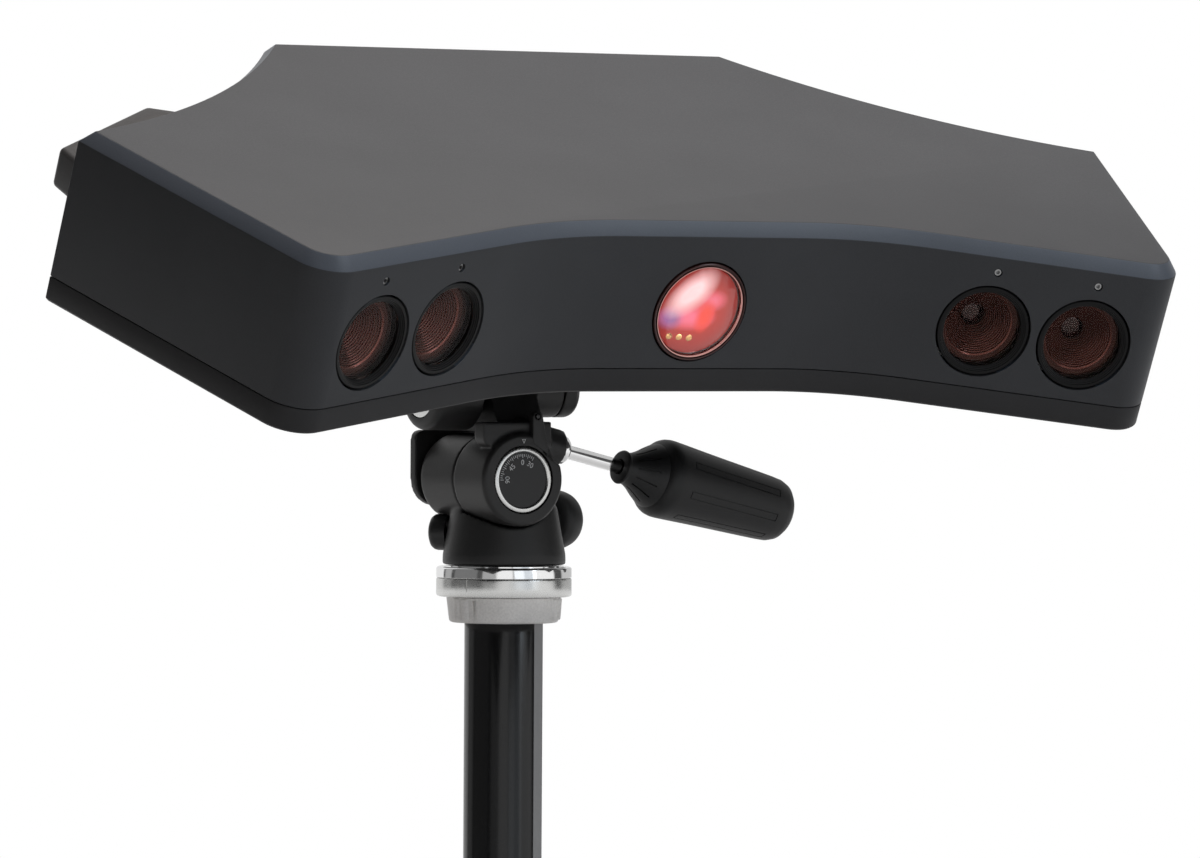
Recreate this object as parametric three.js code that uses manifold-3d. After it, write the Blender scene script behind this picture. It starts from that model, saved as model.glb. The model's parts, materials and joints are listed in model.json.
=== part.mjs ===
// Structured-light 3-D scanner with four cameras and a projector, on a three-way tripod head and column.
// Millimetres, +Z up. The column axis is x = y = 0 and its foot stands at z = 0. The lenses look towards -Y.
import * as THREE from 'three';
import { mergeVertices } from 'three/addons/utils/BufferGeometryUtils.js';
import Module from 'manifold-3d';

const wasm = await Module();
wasm.setup();

const degrees = (value) => THREE.MathUtils.degToRad(value);

// Clearances
const fit = 0.3;
const runningFit = 0.4;
const overrun = 2;

// Steps round a full turn
const roundSteps = 18;
const smallSteps = 12;
const screwSteps = 6;

// Housing plan, measured from the middle of the line between the two front corners
const frontHalf = 214.7;
const wingDepth = 139.5;
const sideFlare = degrees(17.99);
const backHalf = 117.1;
const backDepth = 245.8;
const toeAngle = degrees(18.36);
const frontFlatHalf = 44.6;
const frontArcRadius = 201;
const frontCornerRadius = 17;
const rearSagitta = 13.2;
const frontArcSteps = 4;
const cornerSteps = 4;
const rearArcSteps = 6;

// Housing heights and walls
const housingHeight = 77.8;
const bevelHeight = 5.7;
const bevelWidth = 4.5;
const trayHeight = 11.2;
const trayChamfer = 1.2;
const trayFloor = 4;
const coverWall = 4;
const coverRoof = 4;
const lipHeight = 3.5;
const lipThickness = 2;

// Screws that hold the tray to the cover
const bossRadius = 5.5;
const bossInset = 10.5;
const trayScrewRadius = 2;
const trayScrewHeadRadius = 3.6;
const trayScrewHeadHeight = 2.4;
const trayScrewGrip = 12;

// Camera lenses: distances run along the toed-in facet from the front corner
const lensHeight = 37.8;
const innerLensDistance = 84.2;
const outerLensDistance = 38.2;
const ringRadius = 20.5;
const ringDepth = 6.2;
const ringRecess = 0.8;
const ringWall = 2.3;
const ringLip = 0.9;
const portClearance = 0.8;
const glassRecess = 1.9;
const glassThickness = 1.6;
const glassCrown = 0.5;
const barrelRadius = 19.4;
const barrelWall = 1.8;
const barrelFrontLength = 12;
const barrelBackRadius = 16;
const barrelBackLength = 18;
const baffleStep = 2.8;
const baffleRings = 3;
const pupilRadius = 8.5;
const pupilCrown = 2.2;
const lensMountRadius = 13.5;
const lensMountLength = 5;

// Camera bodies
const cameraSide = 29;
const cameraLength = 40;
const cameraChamfer = 2;
const cameraPlugRadius = 4.5;
const cameraPlugLength = 6;

// Set screws above each camera lens
const lockScrewHeight = 65.2;
const lockHoleRadius = 1.9;
const lockBossRadius = 4.5;
const lockBossLength = 7;

// Projector
const projectorRingRadius = 22.4;
const projectorRingWall = 2.2;
const projectorRingDepth = 8;
const projectorRingProud = 0.6;
const projectorLensCrown = 5.5;
const projectorLensEdge = 2.5;
const projectorLensRecess = 1.4;
const projectorLensSteps = 4;
const projectorTubeRadius = 20.5;
const projectorTubeWall = 2;
const projectorTubeLength = 42;
const projectorWidth = 84;
const projectorLength = 78;
const projectorRoofGap = 7.8;
const projectorFins = 9;
const projectorFinDepth = 5;
const ledBoardRadius = 14;
const ledBoardThickness = 2;
const ledContactRadius = 1.6;
const ledContactHeight = 1;
const ledContactPitch = 5;

// Optical bench that carries the cameras and the projector
const benchThickness = 5;
const benchInset = 14;
const benchDepth = 88;
const benchPostRadius = 6;
const benchPostInset = 34;
const benchNotchClearance = 1;

// Fan behind the projector
const fanSide = 40;
const fanThickness = 10;
const fanBoreRadius = 18.4;
const fanHubRadius = 8.5;
const fanTipRadius = 17.4;
const fanBlades = 7;
const fanBladeThickness = 1.2;
const fanBladePitch = degrees(38);
const fanPinRadius = 1.5;
const fanArmWidth = 3;
const fanArmThickness = 1.6;
const fanBladeHeightShare = 0.8;

// Electronics
const boardWidth = 150;
const boardLength = 52;
const boardThickness = 1.6;
const boardHeight = 11;
const boardBackGap = 14;
const boardPostRadius = 3.5;
const chipSide = 26;
const chipHeight = 6;
const supplyWidth = 50;
const supplyLength = 32;
const supplyHeight = 30;
const supplyGap = 3;

// Rear connector panel
const panelWidth = 96;
const panelHeight = 34;
const panelThickness = 2.5;
const panelMargin = 5;
const panelMiddle = 40;
const socketDepth = 8;
const inletRadius = 9.5;
const inletBoreRadius = 7.2;
const inletAcross = -30;
const inletPinRadius = 1.25;
const dataWidth = 16;
const dataHeight = 15;
const dataWall = 2;
const dataAcross = -2;
const switchWidth = 21;
const switchHeight = 15;
const switchWall = 1.5;
const switchAcross = 28;
const rockerDepth = 7;
const rockerCrown = 3.2;
const rockerPinRadius = 1.2;

// Carry handles on the two rear walls
const handleBarHalf = 40.7;
const handleFootHalf = 60.5;
const handleReach = 28.8;
const handleThickness = 11;
const handleHeight = 18;
const handleMiddle = 39;
const handleChamfer = 2.5;
const handleBarInsetShare = 0.6;
const handleFootInsetShare = 1.35;

// Seat of the scanner on the head, in the frame of the front-tilt axis
const restTilt = degrees(23.7);
const mountToFront = 176.4;
const axisToHousing = 58.3;

// Mounting block and quick-release plate
const blockHalfWidth = 30;
const blockHalfDepth = 26;
const blockFlange = 5;
const blockFlangeHalfWidth = 44;
const blockFlangeHalfDepth = 36;
const blockScrewRadius = 2.5;
const blockScrewInset = 7;
const blockCorner = 6;
const plateThickness = 9.5;
const plateHalfWidth = 23;
const plateHalfDepth = 25;
const plateSlope = 3;
const plateScrewRadius = 4.6;
const plateScrewHeadRadius = 9;
const plateScrewHeadHeight = 4;
const plateScrewReach = 11;

// Front-tilt carrier: a yoke with a large drum on the left and a lug on the right
const deckUnder = 14.5;
const deckThickness = 9.5;
const deckHalfDepth = 21;
const deckCorner = 5;
const drumRadius = 17.5;
const drumLeft = -44;
const drumRight = -20.5;
const drumRounding = 3;
const lugRadius = 12;
const lugLeft = 24.5;
const lugRight = 32.8;
const lugRounding = 2.5;
const railWidth = 6;
const railHeight = 7;
const axleRadius = 5;
const axleCapRadius = 12;
const axleCapThickness = 2;
const axleButtonRadius = 7;
const axleButtonThickness = 1.5;
const washerRadius = 9.5;

// Quick-release lever
const leverPivotAcross = -33;
const leverPivotDepth = -12;
const leverThickness = 6;
const leverLength = 44;
const leverWidth = 9;
const leverTipWidth = 12;
const leverScrewRadius = 2.4;
const leverScrewHeadRadius = 4.5;
const leverScrewHeadHeight = 2;
const leverScrewReach = 8;

// Side-tilt bracket, in the frame of the side-tilt axis
const rollAcross = -8;
const rollRise = 38.1;
const tiltRise = 38.9;
const frontDrumRadius = 20.5;
const frontDrumFront = -29.4;
const frontDrumBack = -3;
const frontDrumChamfer = 1.2;
const dialRecess = 3.2;
const dialRingRadius = 14.7;
const dialRingWall = 2;
const dialThickness = 2.4;
const shaftRadius = 5.8;
const shaftNutRadius = 9.3;
const shaftNutThickness = 4.6;
const shaftNutChamfer = 1.7;
const neckFront = -27;
const neckBack = -18.5;
const neckLeft = -19;
const neckRight = 17;
const neckTop = 25.4;
const neckRoot = 14.6;
const neckCorner = 3;
const bridgeLeft = -7;
const bridgeUnder = 20.9;
const bridgeTop = 26;
const barrelTubeRadius = 12;
const barrelSaddleShare = 0.95;
const rearPlateFront = 30;
const rearPlateBack = 34.4;
const rearPlateRadius = 20.3;
const rearPlateTop = 21;
const rearPlateCorner = 4;
const tabLeft = 6.1;
const tabRight = 12.7;
const tabTop = 29.8;
const tabThickness = 4.4;
const pointerWidth = 3;
const pointerDepth = 0.4;

// Side-tilt locking handle, pointing right and drooping
const handleDroop = degrees(13.4);
const handleYaw = degrees(3.6);
const bossEndAcross = 26.1;
const bossEndDepth = -14.45;
const bossEndHeight = 13.3;
const clampBossRadius = 8.5;
const clampBossLength = 26;
const collarRadius = 6.3;
const collarLength = 4;
const collarEdgeShare = 0.25;
const rodRadius = 3.1;
const rodBuried = 14;
const rodVisible = 35.2;
const ferruleLength = 18.1;
const ferruleLipRadius = 7.6;
const ferruleLipLength = 1.8;
const ferruleRadius = 7;
const ferruleWaistLength = 4.1;
const ferruleWaistRadius = 7.3;
const ferruleFlareRadius = 9;
const ferruleFlareShares = [0.46, 0.65, 0.84];
const ferruleFlareStep = 2.2;
const ferruleEndRadius = 14.9;
const ferruleSlots = 12;
const ferruleSlotWidth = 1.2;
const ferruleSlotDepth = 0.6;
const ferruleSlotStart = 5.5;
const ferruleSlotLength = 9.5;
const ferruleSlotLean = degrees(29);
const gripShoulderRadius = 17.7;
const gripShoulderAt = 5.5;
const gripLength = 74.9;
const gripEndRadius = 14.6;
const gripEndRounding = 5.8;
const gripFlutes = 8;
const gripFluteWidth = 1.8;
const gripFluteDepth = 0.9;
const gripFluteStart = 12;
const gripFluteEnd = 64;
const gripSwellShares = [0.33, 0.68];

// Pan body
const panBodyRadius = 27.3;
const panBodyFlange = 4.4;
const panNeckRadius = 24.4;
const panNeckHeight = 19;
const panTopRadius = 18.2;
const panTopHeight = 32;
const panBarrelRadius = 20;
const panBarrelFront = -2;
const panBarrelBack = 28.6;
const panBarrelRounding = 3;
const spigotRadius = 10;
const spigotHeight = 12;

// Pan lock knob, rear right, and pan friction knob, rear left
const lockKnobAngle = degrees(25.9);
const lockKnobRise = 18.9;
const lockKnobRadius = 13.1;
const lockKnobStart = 35;
const lockKnobLength = 13;
const lockKnobFaceRadius = 9.2;
const lockKnobEdgeRadius = 12.3;
const lockKnobEdge = 2.6;
const knobBossRadius = 8;
const lockStudRadius = 3;
const lockStudBuried = 14;
const frictionKnobAngle = degrees(130);
const frictionKnobRise = 13.9;
const frictionKnobRadius = 8.1;
const frictionKnobStart = 25.5;
const frictionKnobLength = 8.4;
const frictionKnobRounding = 2.8;
const frictionDimpleRadius = 2.8;
const frictionDimpleDepth = 1.5;
const frictionStudRadius = 2.5;
const frictionStudBuried = 9;

// Base disc, column head and column
const columnLength = 226;
const columnRadius = 17.4;
const columnWall = 2.4;
const columnFlatDepth = 0.95;
const columnFlatAngle = degrees(-51);
const cupHeight = 11.5;
const cupTopRadius = 25.5;
const cupBottomRadius = 24.2;
const cupRoof = 3.5;
const cupLugs = 3;
const cupLugAngle = degrees(74.4);
const cupLugRise = 1.4;
const cupRibAngles = [degrees(-12), degrees(0.5)];
const cupRibAcross = 23.5;
const cupRibRadius = 2.9;
const topPlateRadius = 30;
const topPlateHeight = 8.2;
const topPlateChamfer = 1;
const studRadius = 4.7;
const studHeight = 9;
const baseDiscHeight = 5;
const baseDiscChamfer = 0.8;
const baseDiscGap = 0.5;
const footFlange = 3;
const footPlugLength = 14;

// Sizes that follow
const wingHalf = frontHalf + wingDepth * Math.tan(sideFlare);
const projectorTop = housingHeight - coverRoof - projectorRoofGap;
const columnTop = columnLength + cupHeight - cupRoof;
const topPlateBottom = columnLength + cupHeight;
const baseDiscBottom = topPlateBottom + topPlateHeight;
const panBottom = baseDiscBottom + baseDiscHeight + baseDiscGap + runningFit;
const deckTop = deckUnder + deckThickness;
const plateBottom = deckTop + fit;
const blockBottom = plateBottom + plateThickness + fit;
const rollHeight = panBottom + rollRise;
const lockKnobHeight = panBottom + lockKnobRise;
const frictionKnobHeight = panBottom + frictionKnobRise;
const tiltAcross = -rollAcross;

// Finishes
const finish = (color, roughness, metalness) => (
  new THREE.MeshStandardMaterial({ color, roughness, metalness })
);
const housingPaint = finish(0x4a4c50, 0.62, 0.25);
const trayPaint = finish(0x33363b, 0.6, 0.25);
const blackPlastic = finish(0x1c1c1e, 0.55, 0);
const blackMetal = finish(0x161618, 0.42, 0.5);
const castBlack = finish(0x242426, 0.6, 0.3);
const satinAluminium = finish(0xb9bbbd, 0.38, 0.95);
const polishedAluminium = finish(0xdcdcdc, 0.16, 1);
const castAluminium = finish(0x9c9c9a, 0.6, 0.85);
const chrome = finish(0xd8dadc, 0.12, 1);
const steel = finish(0x8d9094, 0.35, 1);
const brass = finish(0xb8943f, 0.3, 1);
const lensCoating = finish(0x4a2420, 0.05, 0);
const redGlass = finish(0xd8403a, 0.08, 0);
const circuitBoard = finish(0x1d5a34, 0.5, 0);
const columnGloss = finish(0x0c0c0d, 0.18, 0.4);
const rubber = finish(0x1a1a1b, 0.85, 0);

// Solids

function welded(geometry) {
  const bare = geometry.index ? geometry.toNonIndexed() : geometry.clone();
  for (const name of Object.keys(bare.attributes)) {
    if (name !== 'position') bare.deleteAttribute(name);
  }
  const merged = mergeVertices(bare);
  const corners = merged.index.array;
  const kept = [];
  for (let i = 0; i < corners.length; i += 3) {
    const [a, b, c] = [corners[i], corners[i + 1], corners[i + 2]];
    if (a !== b && b !== c && c !== a) kept.push(a, b, c);
  }
  const points = merged.attributes.position;
  const [p, q, r] = [new THREE.Vector3(), new THREE.Vector3(), new THREE.Vector3()];
  let volume = 0;
  for (let i = 0; i < kept.length; i += 3) {
    p.fromBufferAttribute(points, kept[i]);
    q.fromBufferAttribute(points, kept[i + 1]);
    r.fromBufferAttribute(points, kept[i + 2]);
    volume += p.dot(q.cross(r));
  }
  if (volume < 0) kept.reverse();
  return { points, kept };
}

function solidOf(geometry) {
  const { points, kept } = welded(geometry);
  return new wasm.Manifold(new wasm.Mesh({
    numProp: 3,
    vertProperties: new Float32Array(points.array),
    triVerts: new Uint32Array(kept),
  }));
}

function geometryOf(solid) {
  const { vertProperties, triVerts } = solid.getMesh();
  const geometry = new THREE.BufferGeometry();
  geometry.setAttribute('position', new THREE.BufferAttribute(vertProperties, 3));
  geometry.setIndex(new THREE.BufferAttribute(triVerts, 1));
  const flat = geometry.toNonIndexed();
  flat.computeVertexNormals();
  return flat;
}

const joined = (...parts) => geometryOf(parts.map(solidOf).reduce((sum, part) => sum.add(part)));
const cut = (body, ...tools) => geometryOf(
  tools.map(solidOf).reduce((rest, tool) => rest.subtract(tool), solidOf(body))
);

// A profile of [radius, height] pairs turned about +Z. It starts and ends on the axis or closes on itself.
function turned(profile, steps = roundSteps) {
  const [first, last] = [profile[0], profile[profile.length - 1]];
  const closed = first[0] === 0 && last[0] === 0 ? profile : [...profile, first];
  const lathe = new THREE.LatheGeometry(
    closed.map(([radius, height]) => new THREE.Vector2(radius, height)), steps,
  );
  return geometryOf(solidOf(lathe.rotateX(Math.PI / 2)));
}

const disc = (radius, from, to, steps = roundSteps) => turned(
  [[0, from], [radius, from], [radius, to], [0, to]], steps,
);

function block(left, right, front, back, bottom, top) {
  const box = new THREE.BoxGeometry(right - left, back - front, top - bottom);
  return box.translate((left + right) / 2, (front + back) / 2, (bottom + top) / 2);
}

// An outline in the XY plane raised from one height to another
function raised(outline, bottom, top, steps = cornerSteps) {
  const shape = outline instanceof THREE.Shape ? outline : new THREE.Shape(outline);
  const prism = new THREE.ExtrudeGeometry(
    shape, { depth: top - bottom, bevelEnabled: false, curveSegments: steps },
  );
  return prism.translate(0, 0, bottom);
}

function roundedRectangle(halfWidth, halfDepth, radius) {
  const shape = new THREE.Shape();
  const [w, d] = [halfWidth - radius, halfDepth - radius];
  shape.absarc(w, d, radius, 0, Math.PI / 2);
  shape.absarc(-w, d, radius, Math.PI / 2, Math.PI);
  shape.absarc(-w, -d, radius, Math.PI, 1.5 * Math.PI);
  shape.absarc(w, -d, radius, 1.5 * Math.PI, 2 * Math.PI);
  return shape;
}

// Rings of equally many points, one above the other, skinned and capped
function lofted(levels) {
  const count = levels[0].outline.length;
  const positions = levels.flatMap(({ outline, height }) => outline.flatMap((p) => [p.x, p.y, height]));
  const faces = [];
  for (let level = 0; level + 1 < levels.length; level += 1) {
    for (let i = 0; i < count; i += 1) {
      const [a, b] = [level * count + i, level * count + ((i + 1) % count)];
      faces.push(a, b, b + count, a, b + count, a + count);
    }
  }
  const lastRing = (levels.length - 1) * count;
  for (const [a, b, c] of THREE.ShapeUtils.triangulateShape(levels[0].outline, [])) faces.push(c, b, a);
  for (const [a, b, c] of THREE.ShapeUtils.triangulateShape(levels[levels.length - 1].outline, [])) {
    faces.push(lastRing + a, lastRing + b, lastRing + c);
  }
  const geometry = new THREE.BufferGeometry();
  geometry.setAttribute('position', new THREE.Float32BufferAttribute(positions, 3));
  geometry.setIndex(faces);
  return geometry;
}

// Places a geometry made along +Z so that its origin is at a point and +Z looks in a direction
function aimed(geometry, point, direction) {
  const turn = new THREE.Quaternion().setFromUnitVectors(
    new THREE.Vector3(0, 0, 1), direction.clone().normalize(),
  );
  return geometry.clone().applyQuaternion(turn).translate(point.x, point.y, point.z);
}

const alongX = (geometry, x, y, z) => aimed(geometry, new THREE.Vector3(x, y, z), new THREE.Vector3(1, 0, 0));
const alongY = (geometry, x, y, z) => geometry.clone().rotateX(-Math.PI / 2).translate(x, y, z);
const ringOfPlaces = (count, place) => Array.from(
  { length: count }, (_, i) => place((i * 2 * Math.PI) / count),
);

function panHeadScrew(headRadius, headHeight, shankRadius, length) {
  const shoulder = headRadius - headHeight / 3;
  return turned([
    [0, 0], [shoulder, 0], [headRadius, headHeight / 3], [headRadius, headHeight],
    [shankRadius, headHeight], [shankRadius, headHeight + length], [0, headHeight + length],
  ], screwSteps);
}

// Housing outline

const frontSetback = () => {
  const facetEnd = frontFlatHalf + frontArcRadius * Math.sin(toeAngle);
  return (frontHalf - facetEnd) * Math.tan(toeAngle) + frontArcRadius * (1 - Math.cos(toeAngle));
};

function filletPoints(before, corner, after, radius, steps) {
  const toBefore = before.clone().sub(corner).normalize();
  const toAfter = after.clone().sub(corner).normalize();
  const half = Math.acos(toBefore.dot(toAfter)) / 2;
  const middle = toBefore.clone().add(toAfter).normalize();
  const centre = corner.clone().addScaledVector(middle, radius / Math.sin(half));
  const start = corner.clone().addScaledVector(toBefore, radius / Math.tan(half)).sub(centre);
  const end = corner.clone().addScaledVector(toAfter, radius / Math.tan(half)).sub(centre);
  const sweep = Math.atan2(start.x * end.y - start.y * end.x, start.dot(end));
  return Array.from(
    { length: steps + 1 },
    (_, i) => start.clone().rotateAround(new THREE.Vector2(), (sweep * i) / steps).add(centre),
  );
}

// Points of an arc from a to b, both included, that bows to the left of the way by the sagitta
function bowedArc(a, b, sagitta, steps) {
  const chord = b.clone().sub(a);
  const halfChord = chord.length() / 2;
  const radius = (halfChord ** 2 + sagitta ** 2) / (2 * sagitta);
  const left = new THREE.Vector2(-chord.y, chord.x).normalize();
  const centre = a.clone().add(b).divideScalar(2).addScaledVector(left, sagitta - radius);
  const sweep = 2 * Math.asin(halfChord / radius);
  const start = a.clone().sub(centre);
  return Array.from(
    { length: steps + 1 },
    (_, i) => start.clone().rotateAround(new THREE.Vector2(), (-sweep * i) / steps).add(centre),
  );
}

function housingPoints() {
  const setback = frontSetback();
  const points = [];
  for (let i = 0; i <= frontArcSteps; i += 1) {
    const angle = (toeAngle * i) / frontArcSteps;
    const across = frontFlatHalf + frontArcRadius * Math.sin(angle);
    points.push(new THREE.Vector2(across, setback - frontArcRadius * (1 - Math.cos(angle))));
  }
  const corner = new THREE.Vector2(frontHalf, 0);
  const wing = new THREE.Vector2(wingHalf, wingDepth);
  const back = new THREE.Vector2(backHalf, backDepth);
  points.push(...filletPoints(points[points.length - 1], corner, wing, frontCornerRadius, cornerSteps));
  points.push(...bowedArc(wing, back, rearSagitta, rearArcSteps));
  const mirrored = points.map((p) => new THREE.Vector2(-p.x, p.y)).reverse();
  return [...points, ...mirrored];
}

// The outline moved inwards by the inset, or outwards where it is negative, with mitred corners
function housingOutline(inset) {
  const points = housingPoints();
  return points.map((point, i) => {
    const before = points[(i + points.length - 1) % points.length];
    const after = points[(i + 1) % points.length];
    const normals = [[before, point], [point, after]].map(([from, to]) => (
      new THREE.Vector2(from.y - to.y, to.x - from.x).normalize()
    ));
    const mitre = normals[0].clone().add(normals[1]);
    return point.clone().addScaledVector(mitre, (2 * inset) / mitre.lengthSq());
  });
}

const housingPrism = (inset, bottom, top) => lofted([
  { outline: housingOutline(inset), height: bottom },
  { outline: housingOutline(inset), height: top },
]);

// Camera places: the frame's origin is on the facet, +Z runs into the housing and +Y is up

function cameraFrame(side, distance, height) {
  const inward = new THREE.Vector3(side * Math.sin(toeAngle), Math.cos(toeAngle), 0);
  const up = new THREE.Vector3(0, 0, 1);
  const across = new THREE.Vector3().crossVectors(up, inward);
  const x = side * (frontHalf - distance * Math.cos(toeAngle));
  const y = distance * Math.sin(toeAngle);
  return new THREE.Matrix4().makeBasis(across, up, inward).setPosition(x, y, height);
}

const cameras = [
  { name: 'camera_left_outer', side: -1, distance: outerLensDistance },
  { name: 'camera_left_inner', side: -1, distance: innerLensDistance },
  { name: 'camera_right_inner', side: 1, distance: innerLensDistance },
  { name: 'camera_right_outer', side: 1, distance: outerLensDistance },
];

const projectorFrame = new THREE.Matrix4()
  .makeBasis(new THREE.Vector3(-1, 0, 0), new THREE.Vector3(0, 0, 1), new THREE.Vector3(0, 1, 0))
  .setPosition(0, frontSetback(), lensHeight);

const benchTop = lensHeight - cameraSide / 2 - fit;
const benchBottom = benchTop - benchThickness;

// Places that the tray screws share with the bosses of the cover
function trayScrewPlaces() {
  const outline = housingOutline(bossInset);
  const half = outline.length / 2;
  const cornerAt = frontArcSteps + 1 + Math.floor(cornerSteps / 2);
  const wingAt = frontArcSteps + 1 + cornerSteps + 1;
  const right = [outline[0], outline[cornerAt], outline[wingAt], outline[half - 1]];
  return [...right, ...right.map((p) => new THREE.Vector2(-p.x, p.y))];
}

// Places along a rear wall: u along the chord from the wing corner, n outwards from the chord
function rearWallFrame(side) {
  const wing = new THREE.Vector3(side * wingHalf, wingDepth, 0);
  const back = new THREE.Vector3(side * backHalf, backDepth, 0);
  const along = back.clone().sub(wing).normalize();
  const up = new THREE.Vector3(0, 0, 1);
  const outward = new THREE.Vector3().crossVectors(along, up).multiplyScalar(side);
  const middle = wing.clone().add(back).divideScalar(2);
  return { along, outward, middle };
}

// Housing pieces

function topCover() {
  const bottom = trayHeight + fit / 2;
  const shell = cut(
    lofted([
      { outline: housingOutline(0), height: bottom },
      { outline: housingOutline(0), height: housingHeight - bevelHeight },
      { outline: housingOutline(bevelWidth), height: housingHeight },
    ]),
    housingPrism(coverWall, bottom - overrun, housingHeight - coverRoof),
  );
  const bossBottom = trayHeight + lipHeight + fit;
  const roofInside = housingHeight - coverRoof / 2;
  const bosses = trayScrewPlaces().map(
    (p) => disc(bossRadius, bossBottom, roofInside, screwSteps).translate(p.x, p.y, 0)
  );
  const lockBosses = cameras.map(({ side, distance }) => (
    disc(lockBossRadius, coverWall / 2, coverWall + lockBossLength, screwSteps)
      .applyMatrix4(cameraFrame(side, distance, lockScrewHeight))
  ));
  const ports = cameras.map(({ side, distance }) => (
    disc(ringRadius + portClearance, -overrun, coverWall + lockBossLength)
      .applyMatrix4(cameraFrame(side, distance, lensHeight))
  ));
  const lockHoles = cameras.map(({ side, distance }) => (
    disc(lockHoleRadius, -overrun, coverWall + lockBossLength + overrun, screwSteps)
      .applyMatrix4(cameraFrame(side, distance, lockScrewHeight))
  ));
  const projectorPort = disc(projectorRingRadius + portClearance, -overrun, coverWall + overrun)
    .applyMatrix4(projectorFrame);
  const screwHoles = trayScrewPlaces().map((p) => (
    disc(
      trayScrewRadius + fit, bossBottom - overrun, bossBottom + trayScrewGrip, screwSteps,
    ).translate(p.x, p.y, 0)
  ));
  const panelHole = block(
    -panelWidth / 2 + panelMargin, panelWidth / 2 - panelMargin,
    backDepth - coverWall - overrun, backDepth + overrun,
    panelMiddle - panelHeight / 2 + panelMargin, panelMiddle + panelHeight / 2 - panelMargin,
  );
  return cut(
    joined(shell, ...bosses, ...lockBosses), ...ports, ...lockHoles, projectorPort, ...screwHoles,
    panelHole,
  );
}

function bottomTray() {
  const top = trayHeight - fit / 2;
  const outer = lofted([
    { outline: housingOutline(trayChamfer), height: 0 },
    { outline: housingOutline(0), height: trayChamfer },
    { outline: housingOutline(0), height: top },
  ]);
  const lip = housingPrism(coverWall + fit, trayFloor, trayHeight + lipHeight);
  const inside = housingPrism(coverWall + fit + lipThickness, trayFloor, trayHeight + lipHeight + overrun);
  const screwBosses = trayScrewPlaces().map((p) => (
    disc(bossRadius, trayFloor / 2, trayHeight + lipHeight, screwSteps).translate(p.x, p.y, 0)
  ));
  const benchPosts = benchPostPlaces().map(
    (p) => disc(benchPostRadius, trayFloor / 2, benchBottom - fit, screwSteps).translate(p.x, p.y, 0)
  );
  const boardPosts = boardPostPlaces().map(
    (p) => disc(boardPostRadius, trayFloor / 2, boardHeight - fit, screwSteps).translate(p.x, p.y, 0)
  );
  const counterbores = trayScrewPlaces().flatMap((p) => [
    disc(trayScrewHeadRadius + fit, -overrun, trayScrewHeadHeight + fit, screwSteps).translate(p.x, p.y, 0),
    disc(
      trayScrewRadius + fit, -overrun, trayHeight + lipHeight + overrun, screwSteps,
    ).translate(p.x, p.y, 0),
  ]);
  const blockHoles = blockScrewPlaces().map((p) => (
    disc(
      blockScrewRadius + fit, -overrun, trayFloor + overrun, screwSteps,
    ).translate(p.x, p.y + mountToFront, 0)
  ));
  const lipWindow = block(
    -panelWidth / 2, panelWidth / 2, backDepth - coverWall - lipThickness - overrun, backDepth - coverWall,
    trayHeight, trayHeight + lipHeight + overrun,
  );
  const shell = cut(joined(outer, lip), inside, lipWindow);
  return cut(joined(shell, ...screwBosses, ...benchPosts, ...boardPosts), ...counterbores, ...blockHoles);
}

// Optical bench: a band that follows the front, with an arm along each side

function benchPostPlaces() {
  const outline = housingOutline(benchPostInset);
  const cornerAt = frontArcSteps + 1 + Math.floor(cornerSteps / 2);
  const middle = outline[0];
  const corner = outline[cornerAt];
  const back = new THREE.Vector2(corner.x, corner.y + benchDepth / 2);
  const right = [new THREE.Vector2(middle.x + frontArcRadius / 6, middle.y + benchDepth / 2), back];
  return [...right, ...right.map((p) => new THREE.Vector2(-p.x, p.y))];
}

function opticalBench() {
  const plate = housingPrism(benchInset, benchBottom, benchTop);
  const away = housingPrism(
    benchInset - fit, benchBottom - overrun, benchTop + overrun,
  ).translate(0, benchDepth, 0);
  const clearances = trayScrewPlaces().map((p) => (
    disc(bossRadius + 2 * fit, benchBottom - overrun, benchTop + overrun, screwSteps).translate(p.x, p.y, 0)
  ));
  const lensNotches = cameras.map(({ side, distance }) => (
    disc(
      barrelRadius + benchNotchClearance, -overrun,
      barrelFront + barrelFrontLength + barrelBackLength + fit,
    )
      .applyMatrix4(cameraFrame(side, distance, lensHeight))
  ));
  const projectorNotch = disc(projectorTubeRadius + benchNotchClearance, -overrun, projectorBoxFront + fit)
    .applyMatrix4(projectorFrame);
  return cut(plate, away, ...clearances, ...lensNotches, projectorNotch);
}

// Camera pieces, made about the lens axis with +Z into the housing

const ringBack = ringRecess + ringDepth;
const glassFront = ringRecess + glassRecess;
const glassBack = glassFront + glassThickness;
const glassRadius = ringRadius - ringWall - fit;
const barrelFront = ringBack + fit;
const barrelBack = barrelFront + barrelFrontLength + barrelBackLength + lensMountLength;

const filterRing = () => turned([
  [ringRadius - ringWall, ringRecess], [ringRadius, ringRecess], [ringRadius, ringBack],
  [ringRadius - ringWall - ringLip, ringBack],
  [ringRadius - ringWall - ringLip, glassBack + fit], [ringRadius - ringWall, glassBack + fit],
]);

const filterGlass = () => turned([
  [0, glassFront - glassCrown], [glassRadius, glassFront], [glassRadius, glassBack], [0, glassBack],
], smallSteps);

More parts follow.
